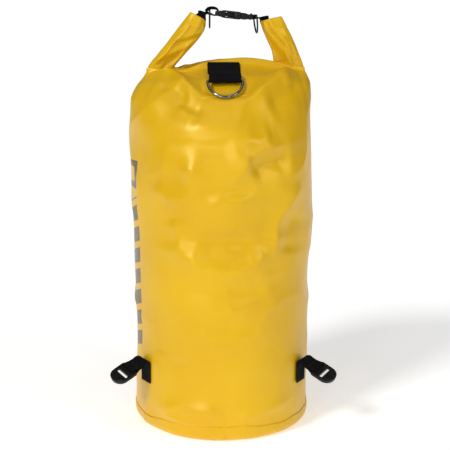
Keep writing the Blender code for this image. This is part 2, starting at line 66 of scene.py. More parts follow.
TAPER_Z = 0.37
MOUTH_Z = 0.505
STRAP_W = 0.025
FOOT_R = 0.1262  # the tube's radius inside the base's flange


def mm(values):
    """Metres from millimetres, through any nest of lists and tuples."""
    if isinstance(values, (list, tuple)):
        return type(values)(mm(v) for v in values)
    return values / 1000


# --- node helpers -----------------------------------------------
class Shade:
    """A node material under construction: add() makes a node, link() joins two sockets."""

    def __init__(self, name):
        self.mat = bpy.data.materials.new(name)
        self.mat.use_nodes = True
        self.tree = self.mat.node_tree
        self.shader = self.tree.nodes["Principled BSDF"]

    def add(self, kind, **values):
        node = self.tree.nodes.new(kind)
        for key, value in values.items():
            if key in node.inputs:
                node.inputs[key].default_value = value
            else:
                setattr(node, key, value)
        return node

    def link(self, source, target):
        self.tree.links.new(source, target)

    def feed(self, socket, value):
        """Joins a socket to another one, or sets it to a plain number or colour."""
        if isinstance(value, (int, float, tuple)):
            socket.default_value = value
        else:
            self.link(value, socket)

    def math(self, operation, *values):
        node = self.add("ShaderNodeMath", operation=operation)
        for slot, value in enumerate(values):
            self.feed(node.inputs[slot], value)
        return node.outputs[0]

    def times(self, a, b):
        return self.math("MULTIPLY", a, b)

    def coords(self, kind="Object"):
        return self.add("ShaderNodeTexCoord").outputs[kind]

    def noise(self, where, scale, detail=3.0, rough=0.5):
        node = self.add("ShaderNodeTexNoise", Scale=scale, Detail=detail, Roughness=rough)
        self.link(where, node.inputs["Vector"])
        return node.outputs["Fac"]

    def ramp(self, value, low, high, out_low=0.0, out_high=1.0):
        node = self.add("ShaderNodeMapRange")
        node.interpolation_type = "SMOOTHSTEP"
        for name, v in zip(("From Min", "From Max", "To Min", "To Max"), (low, high, out_low, out_high)):
            node.inputs[name].default_value = v
        self.link(value, node.inputs["Value"])
        return node.outputs["Result"]

    def mix(self, factor, a, b):
        node = self.add("ShaderNodeMix", data_type="RGBA")
        for slot, value in ((0, factor), (6, a), (7, b)):
            self.feed(node.inputs[slot], value)
        return node.outputs[2]

    def bump(self, heights):
        """Adds bumps in a chain; heights is a list of (socket, strength, distance in metres)."""
        normal = None
        for height, strength, distance in heights:
            node = self.add("ShaderNodeBump", Strength=strength, Distance=distance)
            self.link(height, node.inputs["Height"])
            if normal is not None:
                self.link(normal, node.inputs["Normal"])
            normal = node.outputs["Normal"]
        self.link(normal, self.shader.inputs["Normal"])

    def finish(self, colour, roughness, heights=(), **plain):
        """Joins the shader's sockets and returns the material; plain sockets have _ for a space."""
        self.link(colour, self.shader.inputs["Base Color"])
        self.feed(self.shader.inputs["Roughness"], roughness)
        for key, value in plain.items():
            self.shader.inputs[key.replace("_", " ")].default_value = value
        if heights:
            self.bump(heights)
        return self.mat


def scrim(shade, where, pitch):
    """The faint woven grid that shows through a coated cloth: threads both ways."""
    split = shade.add("ShaderNodeSeparateXYZ")
    shade.link(where, split.inputs[0])
    around = shade.math("ARCTAN2", split.outputs["X"], split.outputs["Y"])
    arc = shade.times(around, BAG_R * 2 * math.pi / pitch)
    rise = shade.times(split.outputs["Z"], 2 * math.pi / pitch)
    return shade.times(shade.math("SINE", arc), shade.math("SINE", rise)), split, around


def tarpaulin(name, tint=1.0, printed=False):
    """Coated yellow tarpaulin: satin skin, faint scrim, soft mottling, scuffs and dust."""
    s = Shade(name)
    where = s.coords()
    threads, split, around = scrim(s, where, 0.0016)
    broad = s.noise(where, 9.0, 4.0, 0.55)
    fine = s.noise(where, 160.0, 3.0, 0.6)
    scuff = s.noise(where, 48.0, 6.0, 0.72)
    light = (0.72 * tint, 0.425 * tint, 0.004 * tint, 1)
    deep = (0.67 * tint, 0.38 * tint, 0.003 * tint, 1)
    dusty = (0.7 * tint, 0.45 * tint, 0.04 * tint, 1)
    colour = s.mix(s.ramp(broad, 0.35, 0.68), deep, light)
    colour = s.mix(s.ramp(scuff, 0.63, 0.8, 0.0, 0.35), colour, dusty)
    if printed:
        colour = s.mix(print_mask(s, split, around), colour, (0.06, 0.058, 0.06, 1))
    dull = s.math("ADD", s.ramp(scuff, 0.3, 0.8, 0.0, 0.1), s.ramp(broad, 0.3, 0.7, 0.3, 0.37))
    heights = [(broad, 0.25, 0.004), (fine, 0.1, 0.0006), (threads, 0.1, 0.00012)]
    return s.finish(colour, dull, heights, Specular_IOR_Level=0.85, Specular_Tint=(1.0, 0.8, 0.34, 1))


PRINT_LEFT = math.radians(101)  # the print's middle on each side, from the front
PRINT_RIGHT = math.radians(86)
PRINT_HALF_W = 0.031
BARS = (0.216, 0.106)  # middle height and half height of the row of bars
BAR_SPACING = 0.015
BAR_TALL = 0.0104
BLOCK = (0.361, 0.019)
BLOCK_HOLE = (0.361, 0.0105)
BLOCK_HOLE_HALF_W = 0.022


def print_mask(s, split, around):
    """A plain block and a row of slanted bars printed down each side of the tube."""
    left = s.math("ABSOLUTE", s.math("ADD", around, PRINT_LEFT))
    right = s.math("ABSOLUTE", s.math("SUBTRACT", around, PRINT_RIGHT))
    off = s.math("MINIMUM", left, right)
    inside = s.math("LESS_THAN", off, PRINT_HALF_W / BAG_R)
    lean = s.times(off, 0.3 * BAG_R)
    height = s.math("SUBTRACT", split.outputs["Z"], lean)
    within = s.math("COMPARE", height, *BARS)
    bar = s.times(within, s.math("LESS_THAN", s.math("PINGPONG", height, BAR_SPACING), BAR_TALL))
    frame_part = s.math("COMPARE", split.outputs["Z"], *BLOCK)
    hollow = s.times(s.math("COMPARE", split.outputs["Z"], *BLOCK_HOLE),
                    s.math("LESS_THAN", off, BLOCK_HOLE_HALF_W / BAG_R))
    block = s.math("SUBTRACT", frame_part, hollow)
    worn = s.ramp(s.noise(s.coords(), 240.0, 4.0, 0.6), 0.34, 0.46, 0.55, 0.92)
    marks = s.times(inside, s.math("MAXIMUM", bar, block))
    return s.times(marks, worn)


def webbing(name):
    """Woven black webbing, from UVs in metres: U along the strap, V across it."""
    s = Shade(name)
    where = s.coords("UV")
    split = s.add("ShaderNodeSeparateXYZ")
    s.link(where, split.inputs[0])
    along = s.times(split.outputs["X"], 2 * math.pi / 0.0024)
    across = s.times(split.outputs["Y"], 2 * math.pi / 0.0019)
    zig = s.math("PINGPONG", s.times(split.outputs["Y"], 180.0), 1.0)
    twill = s.math("SINE", s.math("ADD", along, s.times(zig, 4.5)))
    rib = s.math("SINE", across)
    weave = s.times(s.math("ADD", twill, 1.2), s.math("ADD", rib, 1.4))
    fuzz = s.noise(s.coords(), 900.0, 2.0, 0.7)
    wear = s.noise(s.coords(), 60.0, 4.0, 0.6)
    tone = s.ramp(weave, 0.0, 5.0)
    colour = s.mix(tone, (0.0012, 0.0012, 0.0018, 1), (0.007, 0.007, 0.0095, 1))
    colour = s.mix(s.ramp(wear, 0.6, 0.85, 0.0, 0.3), colour, (0.015, 0.015, 0.017, 1))
    heights = [(weave, 0.55, 0.0004), (fuzz, 0.25, 0.0002)]
    return s.finish(colour, s.ramp(fuzz, 0.2, 0.8, 0.7, 0.95), heights, Specular_IOR_Level=0.12)


def thread(name):
    s = Shade(name)
    twist = s.noise(s.coords(), 1500.0, 2.0)
    colour = s.mix(twist, (0.002, 0.002, 0.003, 1), (0.012, 0.012, 0.014, 1))
    return s.finish(colour, s.ramp(twist, 0.2, 0.8, 0.5, 0.8), [(twist, 0.4, 0.0002)])


def moulded(name):
    """Injection-moulded black plastic: fine spark grain, soft edge wear, greasy shine."""
    s = Shade(name)
    where = s.coords()
    spark = s.noise(where, 1800.0, 2.0, 0.7)
    cloudy = s.noise(where, 70.0, 4.0, 0.6)
    scratch = s.noise(where, 380.0, 6.0, 0.75)
    colour = s.mix(s.ramp(cloudy, 0.35, 0.7), (0.002, 0.002, 0.0025, 1), (0.006, 0.006, 0.007, 1))
    colour = s.mix(s.ramp(scratch, 0.62, 0.8, 0.0, 0.5), colour, (0.02, 0.02, 0.022, 1))
    dull = s.math("ADD", s.ramp(cloudy, 0.3, 0.7, 0.3, 0.42), s.ramp(scratch, 0.5, 0.8, 0.0, 0.15))
    return s.finish(colour, dull, [(spark, 0.18, 0.00008), (scratch, 0.12, 0.0001)], Specular_IOR_Level=0.3)


def plated(name):
    """Nickel-plated steel wire, with faint drawing lines and darker, duller spots."""
    s = Shade(name)
    where = s.coords()
    spots = s.noise(where, 220.0, 5.0, 0.65)
    lines = s.noise(where, 1600.0, 2.0, 0.6)
    colour = s.mix(s.ramp(spots, 0.45, 0.75), (0.24, 0.23, 0.22, 1), (0.07, 0.07, 0.066, 1))
    return s.finish(colour, s.ramp(spots, 0.35, 0.75, 0.12, 0.32), [(lines, 0.1, 0.00005)], Metallic=1.0)


def enamelled(name):
    """Black enamelled wire, chipped a little."""
    s = Shade(name)
    chips = s.noise(s.coords(), 500.0, 4.0, 0.6)
    colour = s.mix(s.ramp(chips, 0.66, 0.72), (0.004, 0.004, 0.005, 1), (0.03, 0.03, 0.032, 1))
    return s.finish(colour, s.ramp(chips, 0.3, 0.75, 0.22, 0.42), [(chips, 0.15, 0.00008)])


def strip_plastic(name):
    s = Shade(name)
    haze = s.noise(s.coords(), 90.0, 4.0)
    colour = s.mix(haze, (0.62, 0.62, 0.6, 1), (0.78, 0.78, 0.75, 1))
    return s.finish(colour, s.ramp(haze, 0.3, 0.7, 0.4, 0.55), [(haze, 0.2, 0.0002)])


# --- mesh helpers -----------------------------------------------
def catmull(points, count):
    """count points along a smooth curve through the given ones (any dimension)."""
    p = np.asarray(points, float)
    p = np.vstack([2 * p[0] - p[1], p, 2 * p[-1] - p[-2]])
    gaps = np.linalg.norm(np.diff(p[1:-1], axis=0), axis=1)
    marks = np.concatenate([[0], np.cumsum(gaps)])
    out = []
    for s in np.linspace(0, marks[-1], count):
        k = min(np.searchsorted(marks, s, side="right") - 1, len(gaps) - 1)
        u = (s - marks[k]) / gaps[k]
        a, b, c, d = p[k], p[k + 1], p[k + 2], p[k + 3]
        square = 2 * a - 5 * b + 4 * c - d
        cube = 3 * b - a - 3 * c + d
        out.append(0.5 * (2 * b + (c - a) * u + square * u**2 + cube * u**3))
    return np.array(out)


def ease(v, low=0.0, high=1.0):
    t = np.clip((np.asarray(v, float) - low) / (high - low), 0, 1)
    return t * t * (3 - 2 * t)


def full_turn(count):
    """count angles round a circle, the last one short of the first."""
    return np.linspace(0, 2 * math.pi, count, endpoint=False)


def swell(v, power):
    """A power that keeps the sign, which squares off or sharpens a round outline."""
    return np.sign(v) * np.abs(v) ** power


def unit(v):
    return v / np.linalg.norm(v, axis=-1, keepdims=True)


def grain(points, scale, seed=0.0):
    """Smooth noise from -1 to 1 at each point."""
    flat = points.reshape(-1, 3) / scale + seed
    values = np.array([noise.noise(Vector(p)) for p in flat])
    return values.reshape(points.shape[:-1])


def new_object(name, verts, faces, mat, uvs=None, place=None):
    mesh = bpy.data.meshes.new(name)
    mesh.from_pydata([tuple(v) for v in verts], [], faces)
    mesh.materials.append(mat)
    if uvs is not None:
        layer = mesh.uv_layers.new(name="UVMap")
        for loop in mesh.loops:
            layer.data[loop.index].uv = uvs[loop.vertex_index]
    obj = bpy.data.objects.new(name, mesh)
    bpy.context.collection.objects.link(obj)
    if place is not None:
        mesh.transform(place)
    mesh.shade_smooth()
    return obj


def outward(obj):
    work = bmesh.new()
    work.from_mesh(obj.data)
    bmesh.ops.recalc_face_normals(work, faces=work.faces)
    work.to_mesh(obj.data)
    work.free()
    return obj


def loft(name, rings, mat, close_u=True, cap=(False, False), uvs=None, place=None):
    """Skin over rings of points, each an (n, 3) array; cap fills the first and last ring."""
    rings = [np.asarray(r, float) for r in rings]
    rows, cols = len(rings), len(rings[0])
    verts = np.vstack(rings)
    faces = []
    span = cols if close_u else cols - 1
    for i in range(rows - 1):
        for j in range(span):
            a, b = i * cols + j, i * cols + (j + 1) % cols
            faces.append((a, b, b + cols, a + cols))
    if cap[0]:
        faces.append(tuple(range(cols))[::-1])
    if cap[1]:
        faces.append(tuple(range((rows - 1) * cols, rows * cols)))
    return outward(new_object(name, verts, faces, mat, uvs, place))


def grid_normals(grid):
    """Outward normals of a (rows, cols, 3) grid that is closed along its columns."""
    across = np.roll(grid, -1, axis=1) - np.roll(grid, 1, axis=1)
    up = np.gradient(grid, axis=0)
    normal = np.cross(across, up)
    length = np.linalg.norm(normal, axis=2, keepdims=True)
    return normal / np.maximum(length, 1e-12)


def near_line(points, line):
    """(distance, share along the line) of each 2-D point from a polyline."""
    best = np.full(points.shape[:-1], 1e9)
    share = np.zeros(points.shape[:-1])
    line = np.asarray(line, float)
    runs = np.linalg.norm(np.diff(line, axis=0), axis=1)
    total = runs.sum()
    done = 0.0
    for a, b, run in zip(line[:-1], line[1:], runs):
        t = np.clip(((points - a) @ (b - a)) / run**2, 0, 1)
        d = np.linalg.norm(points - (a + t[..., None] * (b - a)), axis=-1)
        closer = d < best
        best = np.where(closer, d, best)
        share = np.where(closer, (done + t * run) / total, share)
        done += run
    return best, share


def crease(points, line, height, reach, soft=0.0015, fade=0.25):
    """Height of a fold line at each 2-D point: a soft-topped ridge that dies away at its ends."""
    d, share = near_line(points, line)
    ridge = np.exp(-(np.sqrt(d * d + soft * soft) - soft) / reach)
    ends = ease(share, 0, fade) * (1 - ease(share, 1 - fade, 1)) if fade else 1.0
    beyond = np.exp(-((np.maximum(d - reach * 2.2, 0) / reach) ** 2))
    return height * ridge * (0.15 + 0.85 * ends) * beyond


def bevelled(obj, width, segments=3, angle=35):
    mod = obj.modifiers.new("edges", "BEVEL")
    mod.width = width
    mod.segments = segments
    mod.limit_method = "ANGLE"
    mod.angle_limit = math.radians(angle)
    mod.harden_normals = False
    obj.data.shade_smooth()
    obj.data.set_sharp_from_angle(angle=math.radians(angle + 20))
    return obj


def baked(obj):
    """Applies the modifiers, so the mesh is final."""
    bpy.context.view_layer.update()
    graph = bpy.context.evaluated_depsgraph_get()
    mesh = bpy.data.meshes.new_from_object(obj.evaluated_get(graph))
    obj.modifiers.clear()
    obj.data = mesh
    return obj


def subtract(obj, cutters):
    for cutter in cutters:
        mod = obj.modifiers.new("cut", "BOOLEAN")
        mod.operation = "DIFFERENCE"
        mod.solver = "EXACT"
        mod.object = cutter
    baked(obj)
    for cutter in cutters:
        bpy.data.objects.remove(cutter, do_unlink=True)
    return obj


def prism(name, outline, low, high, mat, place, axes=(0, 1, 2)):
    """A straight solid over a 2-D outline; axes says which axes the outline and its depth run along."""
    order = np.argsort(axes)
    rings = [[np.array((a, b, c))[order] for a, b in outline] for c in (low, high)]
    return loft(name, rings, mat, cap=(True, True), place=place)


def rounded(half_x, half_y, radius, centre=(0, 0), steps=5):
    """A rounded rectangle's outline."""
    out = []
    for sx, sy, start in ((1, 1, 0), (-1, 1, 90), (-1, -1, 180), (1, -1, 270)):
        for k in range(steps + 1):
            turn = math.radians(start + 90 * k / steps)
            x = centre[0] + sx * (half_x - radius) + radius * math.cos(turn)
            y = centre[1] + sy * (half_y - radius) + radius * math.sin(turn)
            out.append((x, y))
    return out


def slab(name, low, high, radius, mat, place, axis="z"):
    """A block with rounded upright edges."""
    a, b, c = axes = {"z": (0, 1, 2), "y": (0, 2, 1), "x": (1, 2, 0)}[axis]
    centre = ((low[a] + high[a]) / 2, (low[b] + high[b]) / 2)
    outline = rounded((high[a] - low[a]) / 2, (high[b] - low[b]) / 2, radius, centre)
    return prism(name, outline, low[c], high[c], mat, place, axes)


def frame_at(origin, x_axis, y_axis):
    x = Vector(x_axis).normalized()
    y = Vector(y_axis)
    y = (y - x * y.dot(x)).normalized()
    rot = Matrix((x, y, x.cross(y))).transposed().to_4x4()
    return Matrix.Translation(Vector(origin)) @ rot


def tube(name, path, radius, mat, closed=True, sides=14):
    """Wire along a 3-D path."""
    path = np.asarray(path, float)
    n = len(path)
    rings = []
    up = None
    for i in range(n):
        before = path[(i - 1) % n] if closed or i > 0 else path[0]
        after = path[(i + 1) % n] if closed or i < n - 1 else path[-1]
        run = Vector(after - before).normalized()
        if up is None:
            up = run.orthogonal()
        up = (up - run * up.dot(run)).normalized()
        side = run.cross(up)
        ring = [Vector(path[i]) + (up * math.cos(a) + side * math.sin(a)) * radius
                for a in full_turn(sides)]
        rings.append(np.array(ring))
    if closed:
        first = rings[0]
        last = rings[-1]
        shift = min(range(sides), key=lambda k: np.abs(np.roll(first, -k, axis=0) - last).sum())
        rings.append(np.roll(first, -shift, axis=0))
    return loft(name, rings, mat, cap=(not closed, not closed))


def ribbon(name, centres, wides, width, thick, mat, sides=5):
    """Webbing: a flat strap with rounded edges along 3-D centres, width one number or one per centre.

    UVs are metres along and across."""
    centres = np.asarray(centres, float)
    run = unit(np.gradient(centres, axis=0))
    wides = np.asarray(wides, float)
    wides = unit(wides - run * (wides * run).sum(1, keepdims=True))
    up = np.cross(run, wides)
    along = np.concatenate([[0], np.cumsum(np.linalg.norm(np.diff(centres, axis=0), axis=1))])
    rings, uvs = [], []
    r = thick / 2
    bend = np.linspace(math.pi / 2, -math.pi / 2, sides)[1:-1]
    for c, w, u, s, full in zip(centres, wides, up, along, np.broadcast_to(width, len(centres))):
        half = full / 2
        flat = np.linspace(-half + r, half - r, 9)
        section = [(a, r) for a in flat]
        section += [(half - r + r * math.cos(t), r * math.sin(t)) for t in bend]
        section += [(a, -r) for a in flat[::-1]]
        section += [(r - half - r * math.cos(t), -r * math.sin(t)) for t in bend]
        rings.append(np.array([c + w * a + u * b for a, b in section]))
        uvs += [(s, a) for a, b in section]
    return loft(name, rings, mat, cap=(True, True), uvs=uvs)


def stitches(name, lines, mat, length=0.0028, gap=0.0012, radius=0.00034):
    """Rows of thread: each line is (start, end, normal) in 3-D; every stitch is a small capsule."""
    verts, faces = [], []
    for start, end, normal in lines:
        start, end, normal = Vector(start), Vector(end), Vector(normal).normalized()
        run = end - start
        count = max(int(run.length / (length + gap)), 1)
        unit = run.normalized()
        side = unit.cross(normal)
        for k in range(count):
            middle = start + run * ((k + 0.5) / count)
            base = len(verts)
            profile = ((-0.5, 0.25), (-0.42, 0.8), (-0.15, 1.0), (0.15, 1.0), (0.42, 0.8), (0.5, 0.25))
            for share, size in profile:
                for a in range(6):
                    turn = math.pi / 3 * a
                    verts.append(middle + unit * length * share
                                 + (side * math.cos(turn) + normal * (0.7 * math.sin(turn))) * radius * size)
            for i in range(len(profile) - 1):
                for a in range(6):
                    p, q = base + i * 6 + a, base + i * 6 + (a + 1) % 6
                    faces.append((p, q, q + 6, p + 6))
            faces.append(tuple(base + a for a in range(6))[::-1])
            faces.append(tuple(base + (len(profile) - 1) * 6 + a for a in range(6)))
    return outward(new_object(name, verts, faces, mat))


def dress(obj, body, finish_slot, *nodes):
    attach(obj, body)
    if nodes:
        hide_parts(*nodes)
    return obj


# --- the bag's skin ---------------------------------------------
# half widths of the filled tube to its left and right, by height
LEFT_SIDE = mm([(0, 126), (90, 125.5), (250, 128), (430, 129.8), (462, 129.6), (482, 122), (502, 107.5)])
RIGHT_SIDE = mm([
    (0, 126.5), (35, 124), (200, 123), (300, 127.8), (370, 127), (460, 120.5), (484, 119.8),
    (502, 113.5),
])
# the folded edge's height across the mouth
FOLD = mm([(-115, 500), (-100, 501), (-60, 498.8), (-25, 509), (30, 515.5), (80, 509), (118, 501.5)])
MOUTH_HALF_D = 0.01
# where the flat front panel below the mouth meets the fuller shoulders and wall
PANEL_EDGE = mm([(-104, 505), (-64, 488), (-30, 466.5), (33, 465), (60, 480), (106, 505)])
PATCH_X = JOINTS["dring_lift"]["pos_m"][0]


def curve(points, values):
    """Smooth curve through a few points, level where they turn back."""
    xs, ys = np.array(points).T
    gap = np.diff(xs)
    rise = np.diff(ys) / gap
    before, after = rise[:-1], rise[1:]
    total = np.where(before * after > 0, before + after, 1.0)
    inner = np.where(before * after > 0, 2 * before * after / total, 0.0)
    slope = np.concatenate([rise[:1], inner, rise[-1:]])
    i = np.clip(np.searchsorted(xs, values) - 1, 0, len(gap) - 1)
    t = np.clip((values - xs[i]) / gap[i], 0, 1)
    blend = t * t * (3 - 2 * t)
    lean = t * (1 - t) * gap[i]
    return ys[i] * (1 - blend) + ys[i + 1] * blend + lean * (slope[i] * (1 - t) - slope[i + 1] * t)


def closing(z):
    return np.clip((z - TAPER_Z) / (MOUTH_Z - TAPER_Z), 0, 1)


def skin_points(turn, level):
    """The unwrinkled skin at a turn about +Z and a level; both are arrays of one shape."""
    t = closing(level)
    power = 2 / (2 + 1.2 * t**3)
    c, s = np.cos(turn), np.sin(turn)
    cx = swell(c, power)
    sy = swell(s, power)
    left = curve(LEFT_SIDE, level)
    right = curve(RIGHT_SIDE, level)
    foot = ease(level, FLANGE_TOP - 0.006, 0.05)
    roundness = (1 - t**2) ** 0.75
    depth = (FOOT_R + (BAG_R - FOOT_R) * foot) * roundness + MOUTH_HALF_D * (1 - roundness)
    thin = ease(t, 0.86, 1.0)
    depth = depth * (1 - thin) + thin * np.where(sy < 0, 0.0092, 0.005)
    x = cx * ((left + right) / 2 + cx * (right - left) / 2)
    lift = t**2 * (curve(FOLD, x) - MOUTH_Z)
    return np.stack([x, depth * sy, level + lift], axis=-1)


# fold lines pressed into the skin: (height, reach, softness, line in x and z), metres
FRONT_CREASES = mm([
    (4, 12, 1.2, [(-100, 503), (-84, 498), (-64, 488), (-42, 477), (-30, 469)]),
    (-3, 10, 3, [(-88, 489), (-66, 475), (-45, 463)]),
    (4.5, 16, 4, [(102, 502), (73, 491), (49, 477), (26, 460)]),
    (-3, 14, 5, [(106, 486), (80, 470), (56, 455)]),
    (2.5, 10, 2, [(-30, 469), (0, 467), (33, 465)]),
    (-2.2, 8, 1.5, [(-62, 463), (-42, 452), (-28, 447)]),
    (2, 8, 1, [(-64, 456), (-48, 447), (-36, 441)]),
    (3.4, 12, 1.2, [(15, 373), (30, 388), (48, 402), (85, 408)]),
    (-3.8, 18, 5, [(30, 374), (56, 388), (90, 394)]),
    (2.2, 14, 2, [(20, 418), (42, 416), (64, 423)]),
    (2, 7, 0.8, [(-58, 372), (-46, 377), (-34, 374)]),
    (1.5, 15, 3.5, [(-98, 350), (-74, 337), (-42, 339)]),
    (-1.3, 16, 5, [(-94, 333), (-68, 326), (-40, 329)]),
    (2.8, 13, 2, [(106, 356), (86, 328), (70, 300), (68, 253)]),
    (-2.6, 16, 4, [(100, 318), (90, 290), (86, 255)]),
    (3, 13, 2, [(-60, 262), (-30, 246), (6, 240), (35, 247), (64, 265)]),
    (-3.2, 16, 5, [(-42, 266), (4, 256), (46, 268)]),
    (1.5, 16, 4, [(-5, 186), (36, 199), (80, 214)]),
    (-1.2, 17, 6, [(5, 199), (56, 217)]),
    (2, 12, 2, [(-70, 312), (-62, 285), (-56, 262)]),
    (2.4, 12, 2, [(-102, 30), (-60, 50), (-20, 45), (6, 43)]),
    (1.8, 10, 2, [(10, 35), (50, 43), (95, 50)]),
    (1.6, 7, 1, [(-85, 36), (-50, 27), (-18, 29)]),
])
# broad soft dents and swells of the front: (x, z, half width, half height, push outwards), metres
FRONT_DENTS = mm([
    (-30, 432, 45, 14, 3), (-28, 408, 40, 12, -2.2), (20, 405, 14, 34, 2.6), (52, 382, 30, 20, -3.4),
    (-42, 372, 13, 30, 2.4), (-62, 338, 36, 16, 2.2), (14, 336, 24, 12, 2.4), (12, 352, 30, 10, -2.2),
    (28, 262, 36, 13, 3), (-50, 262, 28, 12, 2.4), (0, 284, 50, 12, -2.6), (60, 300, 20, 40, -2.6),
    (-10, 216, 50, 10, -1.8), (10, 152, 60, 8, 1.6), (30, 106, 30, 10, 2), (-60, 112, 30, 10, -1.6),
])
BACK_CREASES = mm([
    (4, 13, 1.5, [(-96, 492), (-66, 470), (-36, 452), (-18, 440)]),
    (4.2, 15, 2.5, [(104, 490), (74, 472), (46, 450), (30, 432)]),
    (-3, 14, 4, [(-80, 462), (-50, 444)]),
    (-3.2, 14, 4, [(90, 462), (62, 440)]),
    (3.2, 13, 1.5, [(-70, 398), (-30, 372), (12, 380), (50, 362)]),
    (-3.2, 16, 4, [(-50, 372), (-6, 356), (40, 350)]),
    (2.8, 12, 1.5, [(20, 318), (52, 296), (86, 306)]),
    (2.6, 13, 2, [(-92, 318), (-62, 284), (-48, 240)]),
    (-2.6, 14, 4, [(-70, 300), (-44, 264)]),
    (2.8, 13, 2, [(-40, 206), (0, 190), (44, 200), (78, 224)]),
    (-2.6, 15, 4, [(-10, 206), (40, 214)]),
    (2.2, 11, 1.5, [(-86, 150), (-52, 138), (-24, 146)]),
    (2.2, 10, 2, [(-90, 40), (-40, 52), (20, 44), (80, 54)]),
])


DENT_GAIN = 1.45


def wrinkle(points, normals):
    """How far each point of the skin stands out of the smooth shape."""
    flat = points[..., [0, 2]]
    y = points[..., 1]
    z = points[..., 2]
    t = closing(z)
    calm = 1 - ease(t, 0.93, 1.0)
    front = ease(-normals[..., 1], 0.0, 0.25)
    back = ease(normals[..., 1], 0.0, 0.25)
    out = np.zeros(y.shape)
    gain = 2.4 - 0.5 * ease(z, 0.36, 0.42)
    for facing_share, creases in ((front, FRONT_CREASES), (back, BACK_CREASES)):
        for height, reach, soft, line in creases:
            out += gain * facing_share * crease(flat, line, height, reach, soft)
    d, share = near_line(flat, PANEL_EDGE)
    inside = z > np.interp(flat[..., 0], *zip(*PANEL_EDGE))
    ridge = np.where(inside, np.exp(-((d / 0.008) ** 2)), np.exp(-((d / 0.026) ** 1.3)))
    out += 0.0062 * front * ridge * ease(share, 0.0, 0.14) * (1 - ease(share, 0.86, 1.0))
    wide = grain(points, 0.085, 3.1)
    medium = grain(points, 0.04, 11.7)
    ridged = (1 - np.abs(grain(points, 0.11, 27.3)) * 1.6).clip(0, 1) ** 4
    side_folds = np.exp(-((points[..., 2] - 0.49) / 0.06) ** 2) * np.abs(points[..., 0] / 0.13) ** 3
    lying = (1 - np.abs(grain(points * np.array([0.8, 0.8, 1.7]), 0.105, 41.0)) * 2.0).clip(0, 1) ** 1.5
    facing = ease(np.abs(normals[..., 1]), 0.45, 0.85)
    out += 0.002 * (lying - 0.3) * facing * ease(z, 0.03, 0.1) * (1 - ease(z, 0.4, 0.45))
    out += 0.0024 * wide + 0.0008 * medium + 0.0024 * (ridged - 0.2)
    for x, height, wide_r, tall_r, push in FRONT_DENTS:
        spot = ((flat[..., 0] - x) / wide_r) ** 2 + ((z - height) / tall_r) ** 2
        out += DENT_GAIN * push * front * np.exp(-spot)
    out += 0.0016 * side_folds * grain(points * np.array([2.2, 2.2, 0.5]), 0.03, 5.0)
    ring_face = np.exp(-(((points[..., 0] - PATCH_X) / 0.04) ** 4 + ((z - 0.487) / 0.024) ** 4)) * (y < 0)
    side_gap = np.abs(points[..., 0]) - 0.111
    anchor = (side_gap / 0.03) ** 4 + ((y + 0.068) / 0.034) ** 4 + ((z - 0.083) / 0.03) ** 4
    return out * calm * (1 - 0.92 * ring_face) * (1 - 0.95 * np.exp(-anchor))


def wrinkled(turns, levels, lift=0.0):
    """Points of the finished skin, lift metres outside it."""
    step = 1e-4
    base = skin_points(turns, levels)
    across = skin_points(turns + step, levels) - base
    above = np.minimum(levels + step, MOUTH_Z)
    up = skin_points(turns, above) - skin_points(turns, above - step)
    normal = np.cross(across, up)
    normal /= np.maximum(np.linalg.norm(normal, axis=-1, keepdims=True), 1e-15)
    return base + normal * (wrinkle(base, normal) + lift)[..., None]


def body_skin(mat, columns=300):
    levels = np.concatenate([
        np.linspace(0.0125, 0.04, 14, endpoint=False),
        np.linspace(0.04, 0.4, 110, endpoint=False),
        np.linspace(0.4, 0.488, 46, endpoint=False),
        np.linspace(0.488, MOUTH_Z, 16),
    ])
    turn = full_turn(columns) + 0.01
    turns, heights = np.meshgrid(turn, levels)
    rings = list(wrinkled(turns, heights))
    top = rings[-1]
    middle = (top[:, 1].min() + top[:, 1].max()) / 2
    for share in (20, 40, 58, 72, 82, 89):
        turn_over = math.radians(share)
        ring = top.copy()
        ring[:, 1] = middle + (top[:, 1] - middle) * math.cos(turn_over)
        ring[:, 2] = top[:, 2] + 0.0034 * math.sin(turn_over)
        rings.append(ring)
    return loft("body_skin", rings, mat, cap=(False, True))


def patch_skin(mat, half=0.032, low=0.463, high=0.498):
    """The welded patch under the large ring: a thin layer that follows the skin."""
    search = np.linspace(-math.pi + 0.05, -0.05, 400)
    rings = []
    for share in np.linspace(0, 1, 34):
        level = low + (high - low) * share
        xs = skin_points(search, np.full(search.shape, level))[:, 0]
        wanted = PATCH_X + np.linspace(-half, half, 44)
        turn = np.interp(wanted, xs, search)
        from_side = half - half * np.abs(np.linspace(-1, 1, 44))
        edge = np.minimum(from_side, min(share, 1 - share) * (high - low) * 1.6)
        lift = -0.0005 + 0.0012 * ease(edge, 0.0, 0.0016)
        rings.append(wrinkled(turn, np.full(turn.shape, level), lift))
    return loft("patch_skin", rings, mat, close_u=False)


